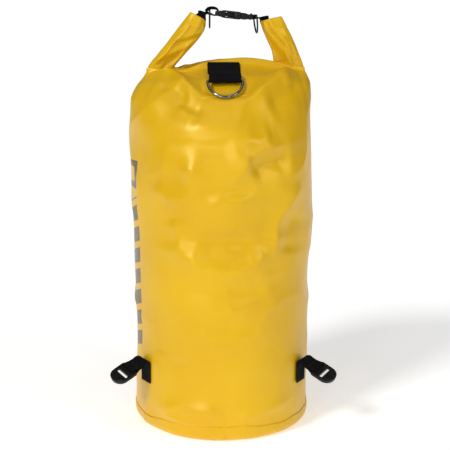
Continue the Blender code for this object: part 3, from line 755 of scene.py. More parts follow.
def base_skin(mat, columns=300):
    """The welded-in round bottom with its upturned, slightly puckered hem."""
    turn = full_turn(columns)
    foot = wrinkled(turn, np.full(columns, 0.0145))
    side = np.linalg.norm(foot[:, :2], axis=1) + 0.0006
    angle = np.arctan2(foot[:, 1], foot[:, 0])
    c, s = np.cos(angle), np.sin(angle)
    corner = 0.0115
    wave = 0.0022 * np.sin(3 * turn + 0.7) + 0.001 * np.sin(8 * turn) + 0.0006 * np.sin(19 * turn + 2)
    pucker = 0.00012 * np.sin(37 * turn) * (1 + np.sin(5 * turn + 1)) + 0.00008 * np.sin(61 * turn + 0.5)
    profile = [(0.0, 0.0026, 0, 0), (0.03, 0.0026, 0, 0), (0.06, 0.0022, 0, 0), (0.085, 0.0016, 0, 0),
               (0.1, 0.0008, 0, 0), (0.109, 0.0001, 0, 0)]
    for k in range(9):
        bend = math.radians(90 * k / 8)
        radius = side - corner + corner * math.sin(bend)
        profile.append((radius, corner - corner * math.cos(bend), 0.2 * k / 8, 0))
    top = FLANGE_TOP - 0.0025
    rim = np.linalg.norm(wrinkled(turn, np.full(columns, top))[:, :2], axis=1) + 0.0006
    profile += [(side + 0.0002, 0.0145, 0.4, 0.2), ((side + rim) / 2 + 0.0003, 0.0175, 0.8, 0.6),
                (rim + 0.0003, top - 0.0012, 1, 1), (rim + 0.0001, top - 0.0003, 1, 1),
                (rim - 0.0005, top, 1, 1), (rim - 0.0014, top - 0.0006, 1, 1)]
    rings = []
    for r, z, gathered, waved in profile:
        radius = np.maximum(r + gathered * pucker, 0.0004)
        rings.append(np.stack([radius * c, radius * s, z + wave * waved], axis=-1))
    return loft("base_skin", rings, mat, cap=(True, False))


def weld_seam(mat):
    """The tube's own vertical weld, a narrow raised band down to the hem."""
    rings = []
    middle = math.radians(-90)
    for z in np.linspace(0.004, 0.06, 24):
        flare = FOOT_R + (BAG_R - FOOT_R) * float(ease(z, 0.018, 0.05)) + 0.0004
        radius = FOOT_R + 0.0012 if z < 0.02 else flare
        rise = 0.0002 * float(ease(z, 0.002, 0.008)) * (1 - float(ease(z, 0.042, 0.06)))
        ring = []
        heights = (-0.0012, rise, rise * 1.15, rise, -0.0012)
        for a, up in zip((-0.0013, -0.0007, 0.0, 0.0007, 0.0013), heights):
            turn = middle + a / radius
            ring.append(((radius + up) * math.cos(turn), (radius + up) * math.sin(turn), z))
        rings.append(np.array(ring))
    return loft("weld_seam", rings, mat, close_u=False)


# --- the rolled mouth and its two ears --------------------------
# outer and inner edge of each ear, seen from the front, from inside the bag up to the open end
LEFT_EAR = mm([
    ((-108, 480), (-80, 478)), ((-105, 506), (-71, 502)), ((-86, 530), (-50, 527)),
    ((-66, 556), (-28, 553)), ((-46.5, 580.5), (-24.5, 569.5)),
])
RIGHT_EAR = mm([
    ((115, 480), (80, 480)), ((112.5, 506), (71, 508)), ((104, 528), (67, 528)),
    ((94, 550), (57.5, 549)), ((80.5, 575), (49.5, 568.5)),
])
# folds across the ears' faces, in (across from -1 outer to 1 inner, share of the ear's height)
LEFT_EAR_FOLDS = [
    (0.003, 0.16, 0.02, [(-0.95, 0.3), (-0.3, 0.4), (0.35, 0.52), (0.9, 0.66)]),
    (-0.0024, 0.12, 0.02, [(-0.7, 0.24), (0.0, 0.36), (0.7, 0.5)]),
    (0.0024, 0.11, 0.015, [(-0.8, 0.6), (-0.1, 0.68), (0.6, 0.78), (1.0, 0.86)]),
    (-0.0022, 0.09, 0.015, [(-0.5, 0.56), (0.2, 0.64), (0.9, 0.76)]),
    (0.0022, 0.12, 0.015, [(-0.95, 0.83), (-0.2, 0.86), (0.6, 0.88)]),
    (0.002, 0.14, 0.02, [(-0.55, 0.2), (-0.45, 0.5), (-0.3, 0.95)]),
    (-0.0022, 0.14, 0.03, [(0.1, 0.18), (0.35, 0.34), (0.8, 0.44)]),
]
RIGHT_EAR_FOLDS = [
    (0.0036, 0.16, 0.015, [(0.9, 0.92), (0.45, 0.7), (0.05, 0.48), (-0.35, 0.24)]),
    (-0.0034, 0.18, 0.03, [(0.95, 0.62), (0.55, 0.44), (0.15, 0.26)]),
    (0.0022, 0.12, 0.015, [(0.3, 0.96), (0.0, 0.78), (-0.25, 0.62), (-0.55, 0.46)]),
    (-0.002, 0.1, 0.02, [(0.62, 0.86), (0.3, 0.66), (0.0, 0.52)]),
    (0.002, 0.1, 0.015, [(-0.9, 0.5), (-0.6, 0.64), (-0.1, 0.7)]),
    (0.0016, 0.1, 0.015, [(-0.9, 0.8), (-0.2, 0.86), (0.5, 0.88)]),
]


def ear_rings(edges, folds, rows=84, columns=64, half_t=0.0074):
    """Rings of the flattened, rolled ear from inside the bag up to its open end."""
    outer = catmull([(*a, 0) for a, _ in edges], rows)[:, :2]
    inner = catmull([(*b, 0) for _, b in edges], rows)[:, :2]
    turn = full_turn(columns)
    shares = np.linspace(0, 1, rows)
    rings = []
    for i, share in enumerate(shares):
        centre = (outer[i] + inner[i]) / 2
        half = (inner[i] - outer[i]) / 2
        across = swell(np.cos(turn), 0.82)
        deep = swell(np.sin(turn), 0.72)
        thick = half_t * (1 - 0.22 * float(ease(share, 0.8, 1.0)))
        thick *= 1 - 0.25 * (1 - float(ease(share, 0.0, 0.25)))
        set_back = 0.0036 * (1 - float(ease(share, 0.2, 0.5)))
        ring = np.zeros((columns, 3))
        ring[:, 0] = centre[0] + half[0] * across
        ring[:, 2] = centre[1] + half[1] * across
        ring[:, 1] = set_back + thick * deep
        spot = np.stack([across, np.full(columns, share)], axis=-1)
        push = np.zeros(columns)
        for height, reach, soft, line in folds:
            push += crease(spot, line, height, reach, soft, 0.15)
        ring[:, 1] += np.where(deep < 0, -1.5, 0.9) * push * np.abs(deep) ** 0.5
        rings.append(ring)
    grid = np.array(rings)
    grid[..., 1] += 0.001 * grain(grid, 0.022, 4.0)
    grid[..., 0] += 0.0007 * grain(grid, 0.016, 9.0)
    return list(grid)


def hollow_end(rings, wall=0.0013, depth=0.022, steps=8):
    """Rolls the last ring over its rim and down inside."""
    rim = rings[-1]
    centre = rim.mean(axis=0)
    back = unit(rings[-1 - max(len(rings) // 5, 1)].mean(axis=0) - centre)
    spread = rim - centre
    size = np.linalg.norm(spread, axis=1, keepdims=True)
    lip = rim - spread / size * wall * 0.5 - back * wall * 0.45
    out = [lip]
    shrunk = centre + spread * np.maximum(1 - wall / np.maximum(size, 1e-6), 0.2)
    for k in range(steps):
        share = k / (steps - 1)
        out.append(shrunk + back * depth * share + (centre - shrunk) * 0.25 * share)
    return rings + out


def mouth_layers(name, rim, back, mat, lip=0.0012):
    """The rolled layers that show inside an ear's open end."""
    centre = rim.mean(axis=0)
    spread = rim - centre
    rows = []
    turns = 1.35
    count = 90
    columns = len(rim)
    for k in range(count + 1):
        share = k / count
        angle = (turns * share) % 1.0 * columns
        i = int(angle) % columns
        f = angle - int(angle)
        edge = spread[i] * (1 - f) + spread[(i + 1) % columns] * f
        rows.append(centre + edge * (0.8 - 0.38 * share))
    rows = np.array(rows)
    top = rows + back * lip
    low = rows + back * 0.02
    mid = (top + low) / 2
    return loft(name, [low, mid, top], mat, close_u=False)


def roll_rings(rows=120, columns=72):
    """The mouth rolled behind the fold: a flattened roll whose two ends turn forward to the ears."""
    path = catmull(mm([(-86, 6, 500), (-82, 13.5, 499), (-71, 23.5, 498.5), (-54, 30, 499),
                       (-30, 33.5, 503.5), (0, 35, 508), (35, 35, 508), (62, 32.5, 503),
                       (81, 24.5, 500), (92, 14, 501), (96, 6, 503)]), rows)
    run = unit(np.gradient(path, axis=0))
    turn = full_turn(columns)
    rings = []
    for i in range(rows):
        share = i / (rows - 1)
        end = min(share, 1 - share) * 2
        level = float(ease(end, 0.02, 0.42))
        ahead = Vector(run[i])
        slope = Vector((0, math.cos(math.radians(27)), -math.sin(math.radians(27))))
        upright = Vector((0.0, -0.15, 1.0))
        wide = (slope * level + upright * (1 - level)).normalized()
        wide = (wide - ahead * wide.dot(ahead)).normalized()
        thin = ahead.cross(wide)
        if thin.z < 0:
            thin = -thin
        half_w = 0.0135 + 0.002 * level
        half_t = 0.0058 + 0.0004 * math.sin(share * 23)
        c, s = np.cos(turn), np.sin(turn)
        a = swell(c, 0.85) * half_w
        b = swell(s, 0.8) * half_t
        step = 0.0009 * ease(np.mod(turn / (2 * math.pi) - 0.22, 1.0), 0.0, 0.018)
        b = b - np.sign(s) * step * (np.abs(s) > 0.2)
        ring = path[i] + np.outer(a, wide) + np.outer(b, thin)
        rings.append(ring)
    grid = np.array(rings)
    normals = grid_normals(grid)
    folds = 0.0012 * grain(grid * np.array([1.0, 0.4, 0.4]), 0.012, 2.0) + 0.001 * grain(grid, 0.03, 8.0)
    ends = np.minimum(np.arange(rows), np.arange(rows)[::-1]) / rows
    folds *= (0.5 + 1.2 * np.exp(-((ends - 0.16) / 0.08) ** 2))[:, None]
    return list(grid - normals * folds[..., None])


def soften(obj, slot, bodies, points, *nodes):
    """Bakes a piece's placement into its mesh and hides the given frame parts."""
    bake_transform(obj)
    if nodes:
        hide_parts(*nodes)


LIP_ROWS = 16  # how many rings back from an ear's rim its direction is read


def mouth_end(word, rings, body, cloth):
    """The layers seen in an ear's open end."""
    rim = rings[-1]
    back = unit(rings[-1 - LIP_ROWS].mean(axis=0) - rim.mean(axis=0))
    dress(mouth_layers(word + "_mouth_layers", rim, back, cloth), body, "tarpaulin")


def mouth_parts(cloth):
    left = ear_rings(LEFT_EAR, LEFT_EAR_FOLDS)
    right = ear_rings(RIGHT_EAR, RIGHT_EAR_FOLDS)
    roll = loft("roll_skin", roll_rings(), cloth, cap=(True, True))
    soften(roll, "tarpaulin", ("bag", "handle"), ((0, 0.026, 0.51), (0, 0.006, 0.51)), "closure_roll")

    ear = loft("left_ear_skin", hollow_end(left), cloth, cap=(True, True))
    soften(ear, "tarpaulin", ("bag", "handle"), ((-0.088, 0, 0.494), (-0.088, 0, 0.518)), "left_ear")
    mouth_end("left", left, "handle", cloth)

    # the right ear is cut at the swing axis into a foot and an upper piece
    split = next(i for i, ring in enumerate(right) if ring[:, 2].mean() > SWING_Z)
    lower = loft("right_ear_foot_skin", right[: split + 1], cloth, cap=(True, True))
    soften(lower, "tarpaulin", ("bag", "handle"), ((0.1, 0, 0.494), (0.1, 0, 0.512)))
    upper = loft("right_ear_skin", hollow_end(right[split:]), cloth, cap=(True, True))
    bend = ((0.1, 0, SWING_Z), (0.094, 0, 0.54))
    soften(upper, "tarpaulin", ("handle", "handle_right"), bend, "right_ear")
    mouth_end("right", right, "handle_right", cloth)


# --- hardware: frames -------------------------------------------
BUCKLE = frame_at((0.0146, 0, 0.5766), (0.99415, 0, -0.108), (0, 1, 0))
DRING = frame_at(JOINTS["dring_lift"]["pos_m"], (1, 0, 0), (0, 0.646, -0.763))
TAB_ROLL = math.radians(14)
TAB_DROOP = math.radians(25)
TAB_REACH = 0.0205
TAB_WALL_R = 0.1282  # middle of the webbing that lies on the tube


def in_frame(place, points):
    return np.array([place @ Vector(p) for p in points])


def tab_place(side):
    """At a lower tab's fold: X out and down along it, Y across it; also the horizontal outward line."""
    joint = JOINTS[("left" if side < 0 else "right") + "_tab_fold"]
    fold = Vector(joint["pos_m"])
    out = Vector((fold.x, fold.y, 0)).normalized()
    along = out * math.cos(TAB_DROOP) - Vector((0, 0, math.sin(TAB_DROOP)))
    across = Vector((0, 0, 1)).cross(out)
    return frame_at(fold, along, across) @ Matrix.Rotation(side * TAB_ROLL, 4, "X"), out, across


def d_wire(width, height, corner, steps=40):
    """Closed D path in X and Z: the bar along X at z = 0 and the bow below it."""
    half = width / 2
    out = [(x, 0.0) for x in np.linspace(-half + corner, half - corner, 14)]
    for a in np.linspace(80, 10, 6):
        t = math.radians(a)
        out.append((half - corner + corner * math.cos(t), corner * (math.sin(t) - 1)))
    for a in np.linspace(0, math.pi, steps):
        out.append((half * math.cos(a), -corner - (height - corner) * math.sin(a)))
    for a in np.linspace(170, 100, 6):
        t = math.radians(a)
        out.append((-half + corner + corner * math.cos(t), corner * (math.sin(t) - 1)))
    return [(x, 0.0, z) for x, z in out]


# --- hardware: pieces -------------------------------------------
def raised_bars(name, body, plastic, count, start, pitch, long, half, rise, radius, edge):
    """A row of thin bars across both faces of a buckle half."""
    for k in range(count):
        for top, face in ((1, "top"), (-1, "low")):
            x = start + pitch * k
            low, high = sorted((top * rise[0], top * rise[1]))
            corners = (x, -half, low), (x + long, half, high)
            bar = slab(f"{name}_{k}_{face}", *corners, radius, plastic, BUCKLE)
            dress(bevelled(bar, edge, 2), body, "plastic")


def buckle_parts(plastic):
    """The female housing, the male half with its rib, and the two sprung prongs."""
    sections = mm([(-26.5, 14, 2.2), (-26.1, 15.2, 3), (-25.1, 15.8, 3.4), (-23.9, 16, 3.6),
                   (-18.2, 16, 4.2), (-16.2, 16, 5), (-14.5, 15.9, 5.2), (-11.8, 15.5, 5.3),
                   (-9, 14.9, 5.3), (-5.3, 14.6, 5.3), (-1.6, 14.8, 5.3), (1.6, 15.5, 5.3),
                   (4.8, 15.9, 5.3), (7, 16, 5.2), (8, 15.8, 5), (8.5, 15.3, 4.6)])
    rings = []
    for x, half_w, half_t in sections:
        outline = rounded(half_w, half_t, min(half_t * 0.72, 0.0032), steps=6)
        rings.append([(x, y, z) for y, z in outline])
    female = loft("buckle_female_shell", rings, plastic, cap=(True, True), place=BUCKLE)
    cutters = [
        slab("cut_cavity", (-0.0165, -0.0135, -0.0034), (0.02, 0.0135, 0.0034), 0.001, plastic, BUCKLE, "x"),
        slab("cut_window", (-0.0125, -0.03, -0.0032), (0.0, 0.03, 0.0032), 0.0012, plastic, BUCKLE, "y"),
        slab("cut_bar_slot", (-0.0238, -0.0132, -0.02), (-0.0184, 0.0132, 0.02), 0.0012, plastic, BUCKLE),
        slab("cut_top_panel", (-0.0118, -0.0085, 0.00485), (0.005, 0.0085, 0.02), 0.0025, plastic, BUCKLE),
        slab("cut_low_panel", (-0.0118, -0.0085, -0.02), (0.005, 0.0085, -0.00485), 0.0025, plastic, BUCKLE),
    ]
    subtract(female, cutters)
    bevelled(female, 0.00022, 2, 40)
    dress(female, "handle", "plastic", "buckle_female")
    raised_bars("buckle_pad", "handle", plastic, 3, start=-0.009, pitch=0.0045, long=0.0016, half=0.0065,
                rise=(0.00475, 0.0052), radius=0.0007, edge=0.00015)

    start = 0.0088
    rings = []
    for x, half_w, half_t in ((start, 0.015, 0.0038), (start + 0.0006, 0.0155, 0.0042),
                              (0.014, 0.0155, 0.0043),
                              (0.0163, 0.0154, 0.004), (0.0186, 0.0153, 0.0036), (0.0227, 0.0152, 0.0032),
                              (0.0243, 0.0148, 0.0029), (0.0251, 0.0138, 0.0023), (0.0255, 0.0124, 0.0015)):
        rings.append([(x, y, z) for y, z in rounded(half_w, half_t, min(half_t * 0.8, 0.0028), steps=6)])
    male = loft("buckle_male_body", rings, plastic, cap=(True, True), place=BUCKLE)
    slot = (0.018, -0.0131, -0.02), (0.0228, 0.0131, 0.02)
    cutters = [slab("cut_male_slot", *slot, 0.0012, plastic, BUCKLE)]
    for side in (-1, 1):
        low, high = sorted((side * 0.0066, side * 0.013))
        root = (0.0, low, -0.0026), (0.0132, high, 0.0026)
        cutters.append(slab(f"cut_root_{side}", *root, 0.0004, plastic, BUCKLE, "x"))
    subtract(male, cutters)
    bevelled(male, 0.00022, 2, 40)
    dress(male, "buckle_male_half", "plastic", "buckle_male")
    rib = mm([(10, 2.6), (-8.5, 2.6), (-10.3, 1.4), (-10.3, -1.4), (-8.5, -2.6), (10, -2.6)])
    spine = prism("buckle_guide_rib", rib, -0.0031, 0.0031, plastic, BUCKLE)
    dress(bevelled(spine, 0.0004, 3), "buckle_male_half", "plastic")
    raised_bars("male_grip", "buckle_male_half", plastic, 4, start=0.01, pitch=0.0017, long=0.0009,
                half=0.012, rise=(0.0038, 0.0046), radius=0.0004, edge=0.00018)

    arm = catmull(mm([(1.9, 0, 0), (1.2, 1.5, 0), (-3, 1.9, 0), (-10, 2.7, 0), (-14, 3.4, 0),
                      (-19, 4.5, 0), (-20.6, 4.4, 0), (-21.8, 2.6, 0), (-24.5, 1.2, 0),
                      (-25.2, -0.4, 0), (-24.6, -1.8, 0), (-14, -1.6, 0), (-3, -1.9, 0),
                      (1.2, -1.5, 0), (1.8, -0.4, 0)]), 60)[:, :2]
    for side, body in ((-1, "prong_front"), (1, "prong_back")):
        place = BUCKLE @ Matrix.Translation((0.01, side * 0.0098, 0))
        blade = prism(body + "_blade", [(x, side * y) for x, y in arm], -0.0025, 0.0025, plastic, place)
        dress(bevelled(blade, 0.0004, 3, 50), body, "plastic", body)


def twist_strap(path, twists, rows):
    """Centres and width directions of a strap whose width turns from the XZ plane (0) to Y (1)."""
    path = catmull([(x, t, z) for (x, z), t in zip(path, twists)], rows)
    centres = np.stack([path[:, 0], np.zeros(rows), path[:, 2]], axis=1)
    run = unit(np.gradient(centres, axis=0))
    flat = np.stack([-run[:, 2], np.zeros(rows), run[:, 0]], axis=1)
    turn = np.clip(path[:, 1], 0, 1) * math.pi / 2
    wides = flat * np.cos(turn)[:, None] + np.array([0, 1, 0]) * np.sin(turn)[:, None]
    return centres, wides


def buckle_xz(points):
    return [(p.x, p.z) for p in (BUCKLE @ Vector((x, 0, z)) for x, z in points)]


def closure_straps(web, thread_mat):
    """Both closure straps, each twisted level and looped round its end of the buckle."""
    loop = buckle_xz(mm([(-38.2, -1), (-33, -1.8), (-28.3, -3.2), (-26.2, -4.9), (-23.8, -4.9),
                         (-21.4, -1.8), (-21.4, 1.8), (-23.6, 5), (-26.8, 6.3), (-30.7, 6.6),
                         (-35.2, 5.7), (-38.6, 3.4), (-39.8, 0.8)]))
    path = mm([(-50, 553), (-44, 560.5), (-38.8, 566.8), (-34, 572.4), (-29.5, 576.6), (-25.8, 579)])
    twists = [0, 0, 0.02, 0.12, 0.5, 0.9, 0.94, 0.97] + [1] * 6 + [0.96, 0.94, 0.93, 0.92, 0.92]
    rows = 120
    centres, wides = twist_strap(path + loop, twists, rows)
    width = 0.014 + 0.0082 * ease(np.linspace(0, 1, rows), 0.3, 0.44)
    left = ribbon("left_strap_webbing", centres, wides, width, 0.0024, web)
    dress(left, "handle", "webbing", "left_strap")

    loop = buckle_xz(mm([(31.8, -0.2), (28.8, -1.4), (26.6, -3.8), (23.6, -4.2), (20.4, -1.4),
                         (20.4, 1.6), (22.6, 4.2), (25.2, 3.8), (27.6, 1.2), (30, 0.6)]))
    path = mm([(72.2, 551), (69, 556.8), (65, 562.2), (60.5, 566.8), (55.5, 570.6), (50.5, 573)])
    twists = [0, 0, 0.04, 0.22, 0.62, 0.96] + [1] * len(loop)
    centres, wides = twist_strap(path + loop, twists, rows)
    width = 0.013 + 0.0092 * ease(np.linspace(0, 1, rows), 0.34, 0.5)
    right = ribbon("right_strap_webbing", centres, wides, width, 0.002, web)
    bend = ((0.064, 0, 0.567), (0.048, 0, 0.5742))
    soften(right, "webbing", ("handle_right", "buckle_male_half"), bend, "right_strap")
    up = BUCKLE.to_3x3() @ Vector((0, 0, 1))
    for word, body, places in (("left", "handle", ((-0.029, 0.00725), (-0.0312, 0.0073))),
                               ("right", "buckle_male_half", ((0.0232, 0.005), (0.0244, 0.0049)))):
        rows = [(*in_frame(BUCKLE, [(x, -0.0095, z), (x, 0.0095, z)]), up) for x, z in places]
        dress(stitches(word + "_strap_stitches", rows, thread_mat), body, "webbing")


def small_rings(wire):
    for name, body, joint, tip in (("left_ring", "ring_left", "left_ring_swing", 0.0),
                                   ("right_ring", "ring_right", "right_ring_swing", math.radians(-6))):
        origin = Vector(JOINTS[joint]["pos_m"])
        along = Vector(JOINTS[joint]["axis"]).normalized()
        place = frame_at(origin, along, along.cross(Vector((0, 0, -1)))) @ Matrix.Rotation(tip, 4, "X")
        path = [place @ Vector((x, 0, z)) for x, _, z in d_wire(0.0298, 0.024, 0.003)]
        dress(tube(name + "_wire", path, 0.0012, wire), body, "wire", name)


COVER_SHIFT = 0.0014  # the cover is sewn on a little to the left of the loop


def large_ring(steel, web, thread_mat, cloth):
    dress(patch_skin(cloth), "bag", "tarpaulin", "dring_patch")
    path = in_frame(DRING, d_wire(0.0468, 0.032, 0.004, 64))
    dress(tube("d_ring_wire", path, 0.002, steel, sides=20), "dring", "steel", "d_ring")
    width = 0.0432
    level = np.linspace(0.47, MOUTH_Z, 80)
    skin = skin_points(np.full(80, -math.pi / 2), level)
    skin[:, 0] = 0
    wall = np.array([DRING.inverted() @ Vector(p) for p in skin])[:, 1:]
    step = np.gradient(wall, axis=0)
    away = np.stack([-step[:, 1], step[:, 0]], axis=1) / np.linalg.norm(step, axis=1, keepdims=True)
    run = np.concatenate([[0], np.cumsum(np.linalg.norm(np.diff(wall, axis=0), axis=1))])
    run -= np.interp(0.0, wall[:, 1], run)

    def on_wall(s, clear):
        """A point s metres up the skin from the ring's bar and clear metres outside it."""
        y, z, out_y, out_z = (float(np.interp(s, run, v)) for v in (*wall.T, *away.T))
        return (0, y + out_y * clear, z + out_z * clear)

    top_edge = float(run[-1]) - 0.003
    line = [on_wall(s, 0.0013) for s in (top_edge - 0.002, 0.023, 0.015, 0.009)]
    line += mm([(0, 3.6, 4.5), (0, 3.1, 1), (0, 1.2, -3), (0, -1.4, -3.1), (0, -3.3, -0.8),
                (0, -3.7, 2.6), (0, -3.6, 6.2), (0, -2.2, 10)])
    line += [on_wall(s, 0.0029) for s in (0.0165, 0.02, 0.025, top_edge - 0.002)]
    rows = 90
    centres = in_frame(DRING, catmull(line, rows))
    loop = ribbon("d_ring_loop_webbing", centres, [(1, 0, 0)] * rows, width, 0.0014, web)
    dress(loop, "bag", "webbing", "dring_webbing")
    cover = [on_wall(s, clear) for s, clear in (
        (top_edge, 0.0008), (top_edge + 0.0002, 0.0026), (top_edge - 0.0012, 0.0042),
        (top_edge - 0.005, 0.0045), (0.027, 0.0045), (0.023, 0.0045), (0.0205, 0.0045),
        (0.0192, 0.0047), (0.0184, 0.0046))]
    rows = 60
    centres = in_frame(DRING, catmull(cover, rows)) + np.array([-COVER_SHIFT, 0, 0])
    cover = ribbon("d_ring_cover_webbing", centres, [(1, 0, 0)] * rows, width + 0.001, 0.0021, web)
    dress(cover, "bag", "webbing")
    rows = []
    up = DRING.to_3x3() @ Vector((0, -1, 0))
    half = width / 2 - 0.0022
    top, low = on_wall(top_edge - 0.003, 0.0056), on_wall(0.0212, 0.0056)
    for _, y, z in (top, low):
        ends = in_frame(DRING, [(-half - COVER_SHIFT, y, z), (half - COVER_SHIFT, y, z)])
        rows.append((*ends, up))
    dress(stitches("d_ring_stitches", rows, thread_mat), "bag", "webbing")


def lower_tabs(web, plastic, thread_mat):
    """On each side a strap stitched up the tube, folded over and ending in a ladder-lock."""
    for side, word in ((-1, "left"), (1, "right")):
        place, out, across = tab_place(side)
        axis = Vector((0, 0, 1))
        base = out * TAB_WALL_R
        centres, wides = [], []
        for z in np.linspace(0.0685, 0.095, 16):
            centres.append(base + axis * z)
            wides.append(across)
        over = mm([(128.2, 97.4), (129.2, 100.2), (131.8, 101.8), (135, 101.4), (137.5, 100.4)])
        wide_end = place.to_3x3().col[1]
        for k, (r, z) in enumerate(catmull([(*p, 0) for p in over], 16)[:, :2]):
            centres.append(out * r + axis * z)
            share = float(ease(k / 15, 0.2, 1.0))
            wides.append(Vector(across).lerp(wide_end, share))
        tail = catmull(mm([(5, 0, 1), (10, 0, 1.2), (15, 0, 2), (18.8, 0, 3.1), (21.8, 0, 2.9),
                           (23.6, 0, 0.8), (23.2, 0, -1.8), (20.8, 0, -3.1), (17, 0, -2.6),
                           (13, 0, -1), (8, 0, -0.7), (4, 0, -0.7)]), 60)
        centres += [place @ Vector(p) for p in tail]
        wides += [wide_end] * 60
        strap = ribbon(word + "_tab_webbing", centres, wides, STRAP_W, 0.0014, web)
        start, end = out * 0.13 + axis * 0.1, out * 0.1372 + axis * 0.1
        soften(strap, "webbing", ("bag", "tab_" + word), (start, end), word + "_anchor", word + "_tab")
        rows = []
        face = out * (TAB_WALL_R + 0.001)
        for z in (0.0712, 0.0735, 0.0925):
            rows.append((face - across * 0.0105 + axis * z, face + across * 0.0105 + axis * z, out))
        for a in (-0.0106, 0.0106):
            rows.append((face + across * a + axis * 0.074, face + across * a + axis * 0.092, out))
        dress(stitches(word + "_anchor_stitches", rows, thread_mat), "bag", "webbing")
        rows = [(*in_frame(place, [(x, -0.01, 0.0022), (x, 0.01, 0.0022)]), place.to_3x3().col[2])
                for x in (0.011, 0.0128)]
        dress(stitches(word + "_tab_stitches", rows, thread_mat), "tab_" + word, "webbing")

        lock = place @ Matrix.Translation((TAB_REACH, 0, 0))
        half = 0.016
        corner = [(-0.0014, 0.003 - half), (-0.0011, 0.0014 - half), (-0.0002, 0.0004 - half),
                  (0.0014, -half)]
        outline = list(corner)
        for k in range(25):
            turn = math.radians(-90 + 7.5 * k)
            outline.append((0.017 + 0.0125 * math.cos(turn), half * math.sin(turn)))
        outline += [(x, -y) for x, y in reversed(corner)]
        plate = prism(word + "_lock_plate", outline, -0.00225, 0.00225, plastic, lock)
        slot = 0.0129
        cutters = [
            slab("cut_slot_a", (0.0014, -slot, -0.01), (0.0046, slot, 0.01), 0.0006, plastic, lock),
            slab("cut_slot_b", (0.0108, -slot, -0.01), (0.0152, slot, 0.01), 0.0012, plastic, lock),
            slab("cut_bar_top", (-0.01, -slot, 0.0014), (0.005, slot, 0.01), 0.0002, plastic, lock),
            slab("cut_bar_low", (-0.01, -slot, -0.01), (0.005, slot, -0.0014), 0.0002, plastic, lock),
        ]
        subtract(plate, cutters)
        bevelled(plate, 0.0005, 3, 40)
        dress(plate, "lock_" + word, "plastic", word + "_ladder_lock")
        rail = [lock @ Vector((0.017 + 0.0104 * math.cos(t), 0.0136 * math.sin(t), 0.0022))
                for t in np.linspace(-1.15, 1.15, 36)]
        grip = tube(word + "_lock_grip", rail, 0.0011, plastic, closed=False, sides=12)
        dress(grip, "lock_" + word, "plastic")
        ends = (0.0084, -0.0126, 0.0018), (0.01, 0.0126, 0.003)
        bridge = slab(word + "_lock_bridge", *ends, 0.0006, plastic, lock, "y")
        dress(bevelled(bridge, 0.0003, 2), "lock_" + word, "plastic")


def stiffener_strips(strip):
    for name, y in (("stiffener_front", -0.0009), ("stiffener_rear", 0.0009)):
        place = frame_at((0.014, 0.035, 0.5078), (1, 0, 0), (0, 0.891, -0.454))
        low, high = (-0.034, -0.008, y - 0.0006), (0.034, 0.008, y + 0.0006)
        bar = slab(name + "_strip", low, high, 0.0012, strip, place)
        dress(bevelled(bar, 0.0002, 2), "bag", "strip", name)


# --- the whole bag ----------------------------------------------
cloth = tarpaulin("tarpaulin_body", printed=True)
cloth_plain = tarpaulin("tarpaulin_plain")
cloth_base = tarpaulin("tarpaulin_base", tint=0.98)
# the weld seam's copy of the tarpaulin is painted 8% lighter: a painted highlight that also offsets the
# shade along the raised seam
cloth_weld_painted_light = tarpaulin("tarpaulin_weld_painted_light", tint=1.08)
web = webbing("black_webbing")
thread_mat = thread("black_thread")
plastic = moulded("black_plastic")
wire = enamelled("black_wire")
steel = plated("nickel_wire")
strip = strip_plastic("white_strip")

dress(body_skin(cloth), "bag", "tarpaulin", "tube_wall")
dress(base_skin(cloth_base), "bag", "tarpaulin", "base_panel")
dress(weld_seam(cloth_weld_painted_light), "bag", "tarpaulin")
mouth_parts(cloth_plain)
buckle_parts(plastic)
closure_straps(web, thread_mat)
small_rings(wire)
large_ring(steel, web, thread_mat, cloth_plain)
lower_tabs(web, plastic, thread_mat)
stiffener_strips(strip)


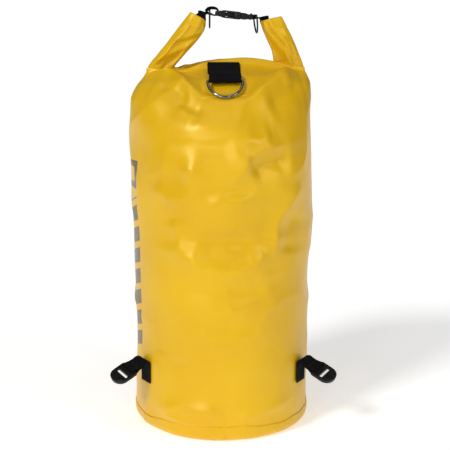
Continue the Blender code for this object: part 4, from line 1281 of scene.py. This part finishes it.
# --- floor, light and camera ------------------------------------
SENSOR_MM = 36
CAMERA_REACH = 2.36  # focal length over the picture's width
CAMERA_AT = (-0.033, -1.5, 0.575)
CAMERA_DOWN = 0.194  # radians below level
CAMERA_YAW = -0.024
CAMERA_ROLL = 0.004
AMBIENT = 0.12  # the world's light on the bag; the camera sees BACKDROP instead
BACKDROP = 1.05
FLOOR_GLOW = 0.42
SUNS = (("key", (-0.62, -0.66, 0.7), 1.55, 13), ("fill", (0.8, -0.66, 0.36), 0.52, 16),
        ("sheen_left", (-0.42, -0.95, 0.26), 0.52, 10), ("sheen_right", (0.34, -0.95, 0.38), 0.24, 10),
        ("top", (0.1, -0.15, 1.0), 0.42, 40))


def studio():
    floor_mat = Shade("studio_floor")
    tone = floor_mat.noise(floor_mat.coords(), 1.5)
    pale = floor_mat.mix(tone, (0.93, 0.93, 0.93, 1), (0.96, 0.96, 0.96, 1))
    floor_mat.finish(pale, 0.9, Emission_Color=(1, 1, 1, 1), Emission_Strength=FLOOR_GLOW)
    bpy.ops.mesh.primitive_plane_add(size=12, location=(0, 2, -0.0004))
    floor = bpy.context.object
    floor.name = "studio_floor"
    floor.data.materials.append(floor_mat.mat)

    world = bpy.data.worlds.new("studio")
    world.use_nodes = True
    sky = world.node_tree.nodes["Background"]
    sky.inputs["Color"].default_value = (1, 1, 1, 1)
    seen = world.node_tree.nodes.new("ShaderNodeLightPath").outputs["Is Camera Ray"]
    level = world.node_tree.nodes.new("ShaderNodeMapRange")
    level.inputs["To Min"].default_value = AMBIENT
    level.inputs["To Max"].default_value = BACKDROP
    world.node_tree.links.new(seen, level.inputs["Value"])
    world.node_tree.links.new(level.outputs["Result"], sky.inputs["Strength"])
    bpy.context.scene.world = world
    bpy.context.scene.view_settings.view_transform = "Standard"

    for name, towards, strength, spread in SUNS:
        data = bpy.data.lights.new(name, "SUN")
        data.energy = strength
        data.angle = math.radians(spread)
        lamp = bpy.data.objects.new(name, data)
        lamp.rotation_euler = Vector(towards).to_track_quat("Z", "Y").to_euler()
        bpy.context.collection.objects.link(lamp)

    data = bpy.data.cameras.new("photo_camera")
    data.sensor_width = SENSOR_MM
    data.lens = SENSOR_MM * CAMERA_REACH
    camera = bpy.data.objects.new("photo_camera", data)
    camera.location = CAMERA_AT
    aim = Matrix.Rotation(CAMERA_YAW, 3, "Z") @ Matrix.Rotation(math.pi / 2 - CAMERA_DOWN, 3, "X")
    camera.rotation_euler = (aim @ Matrix.Rotation(CAMERA_ROLL, 3, "Z")).to_euler()
    bpy.context.collection.objects.link(camera)
    bpy.context.scene.camera = camera


studio()
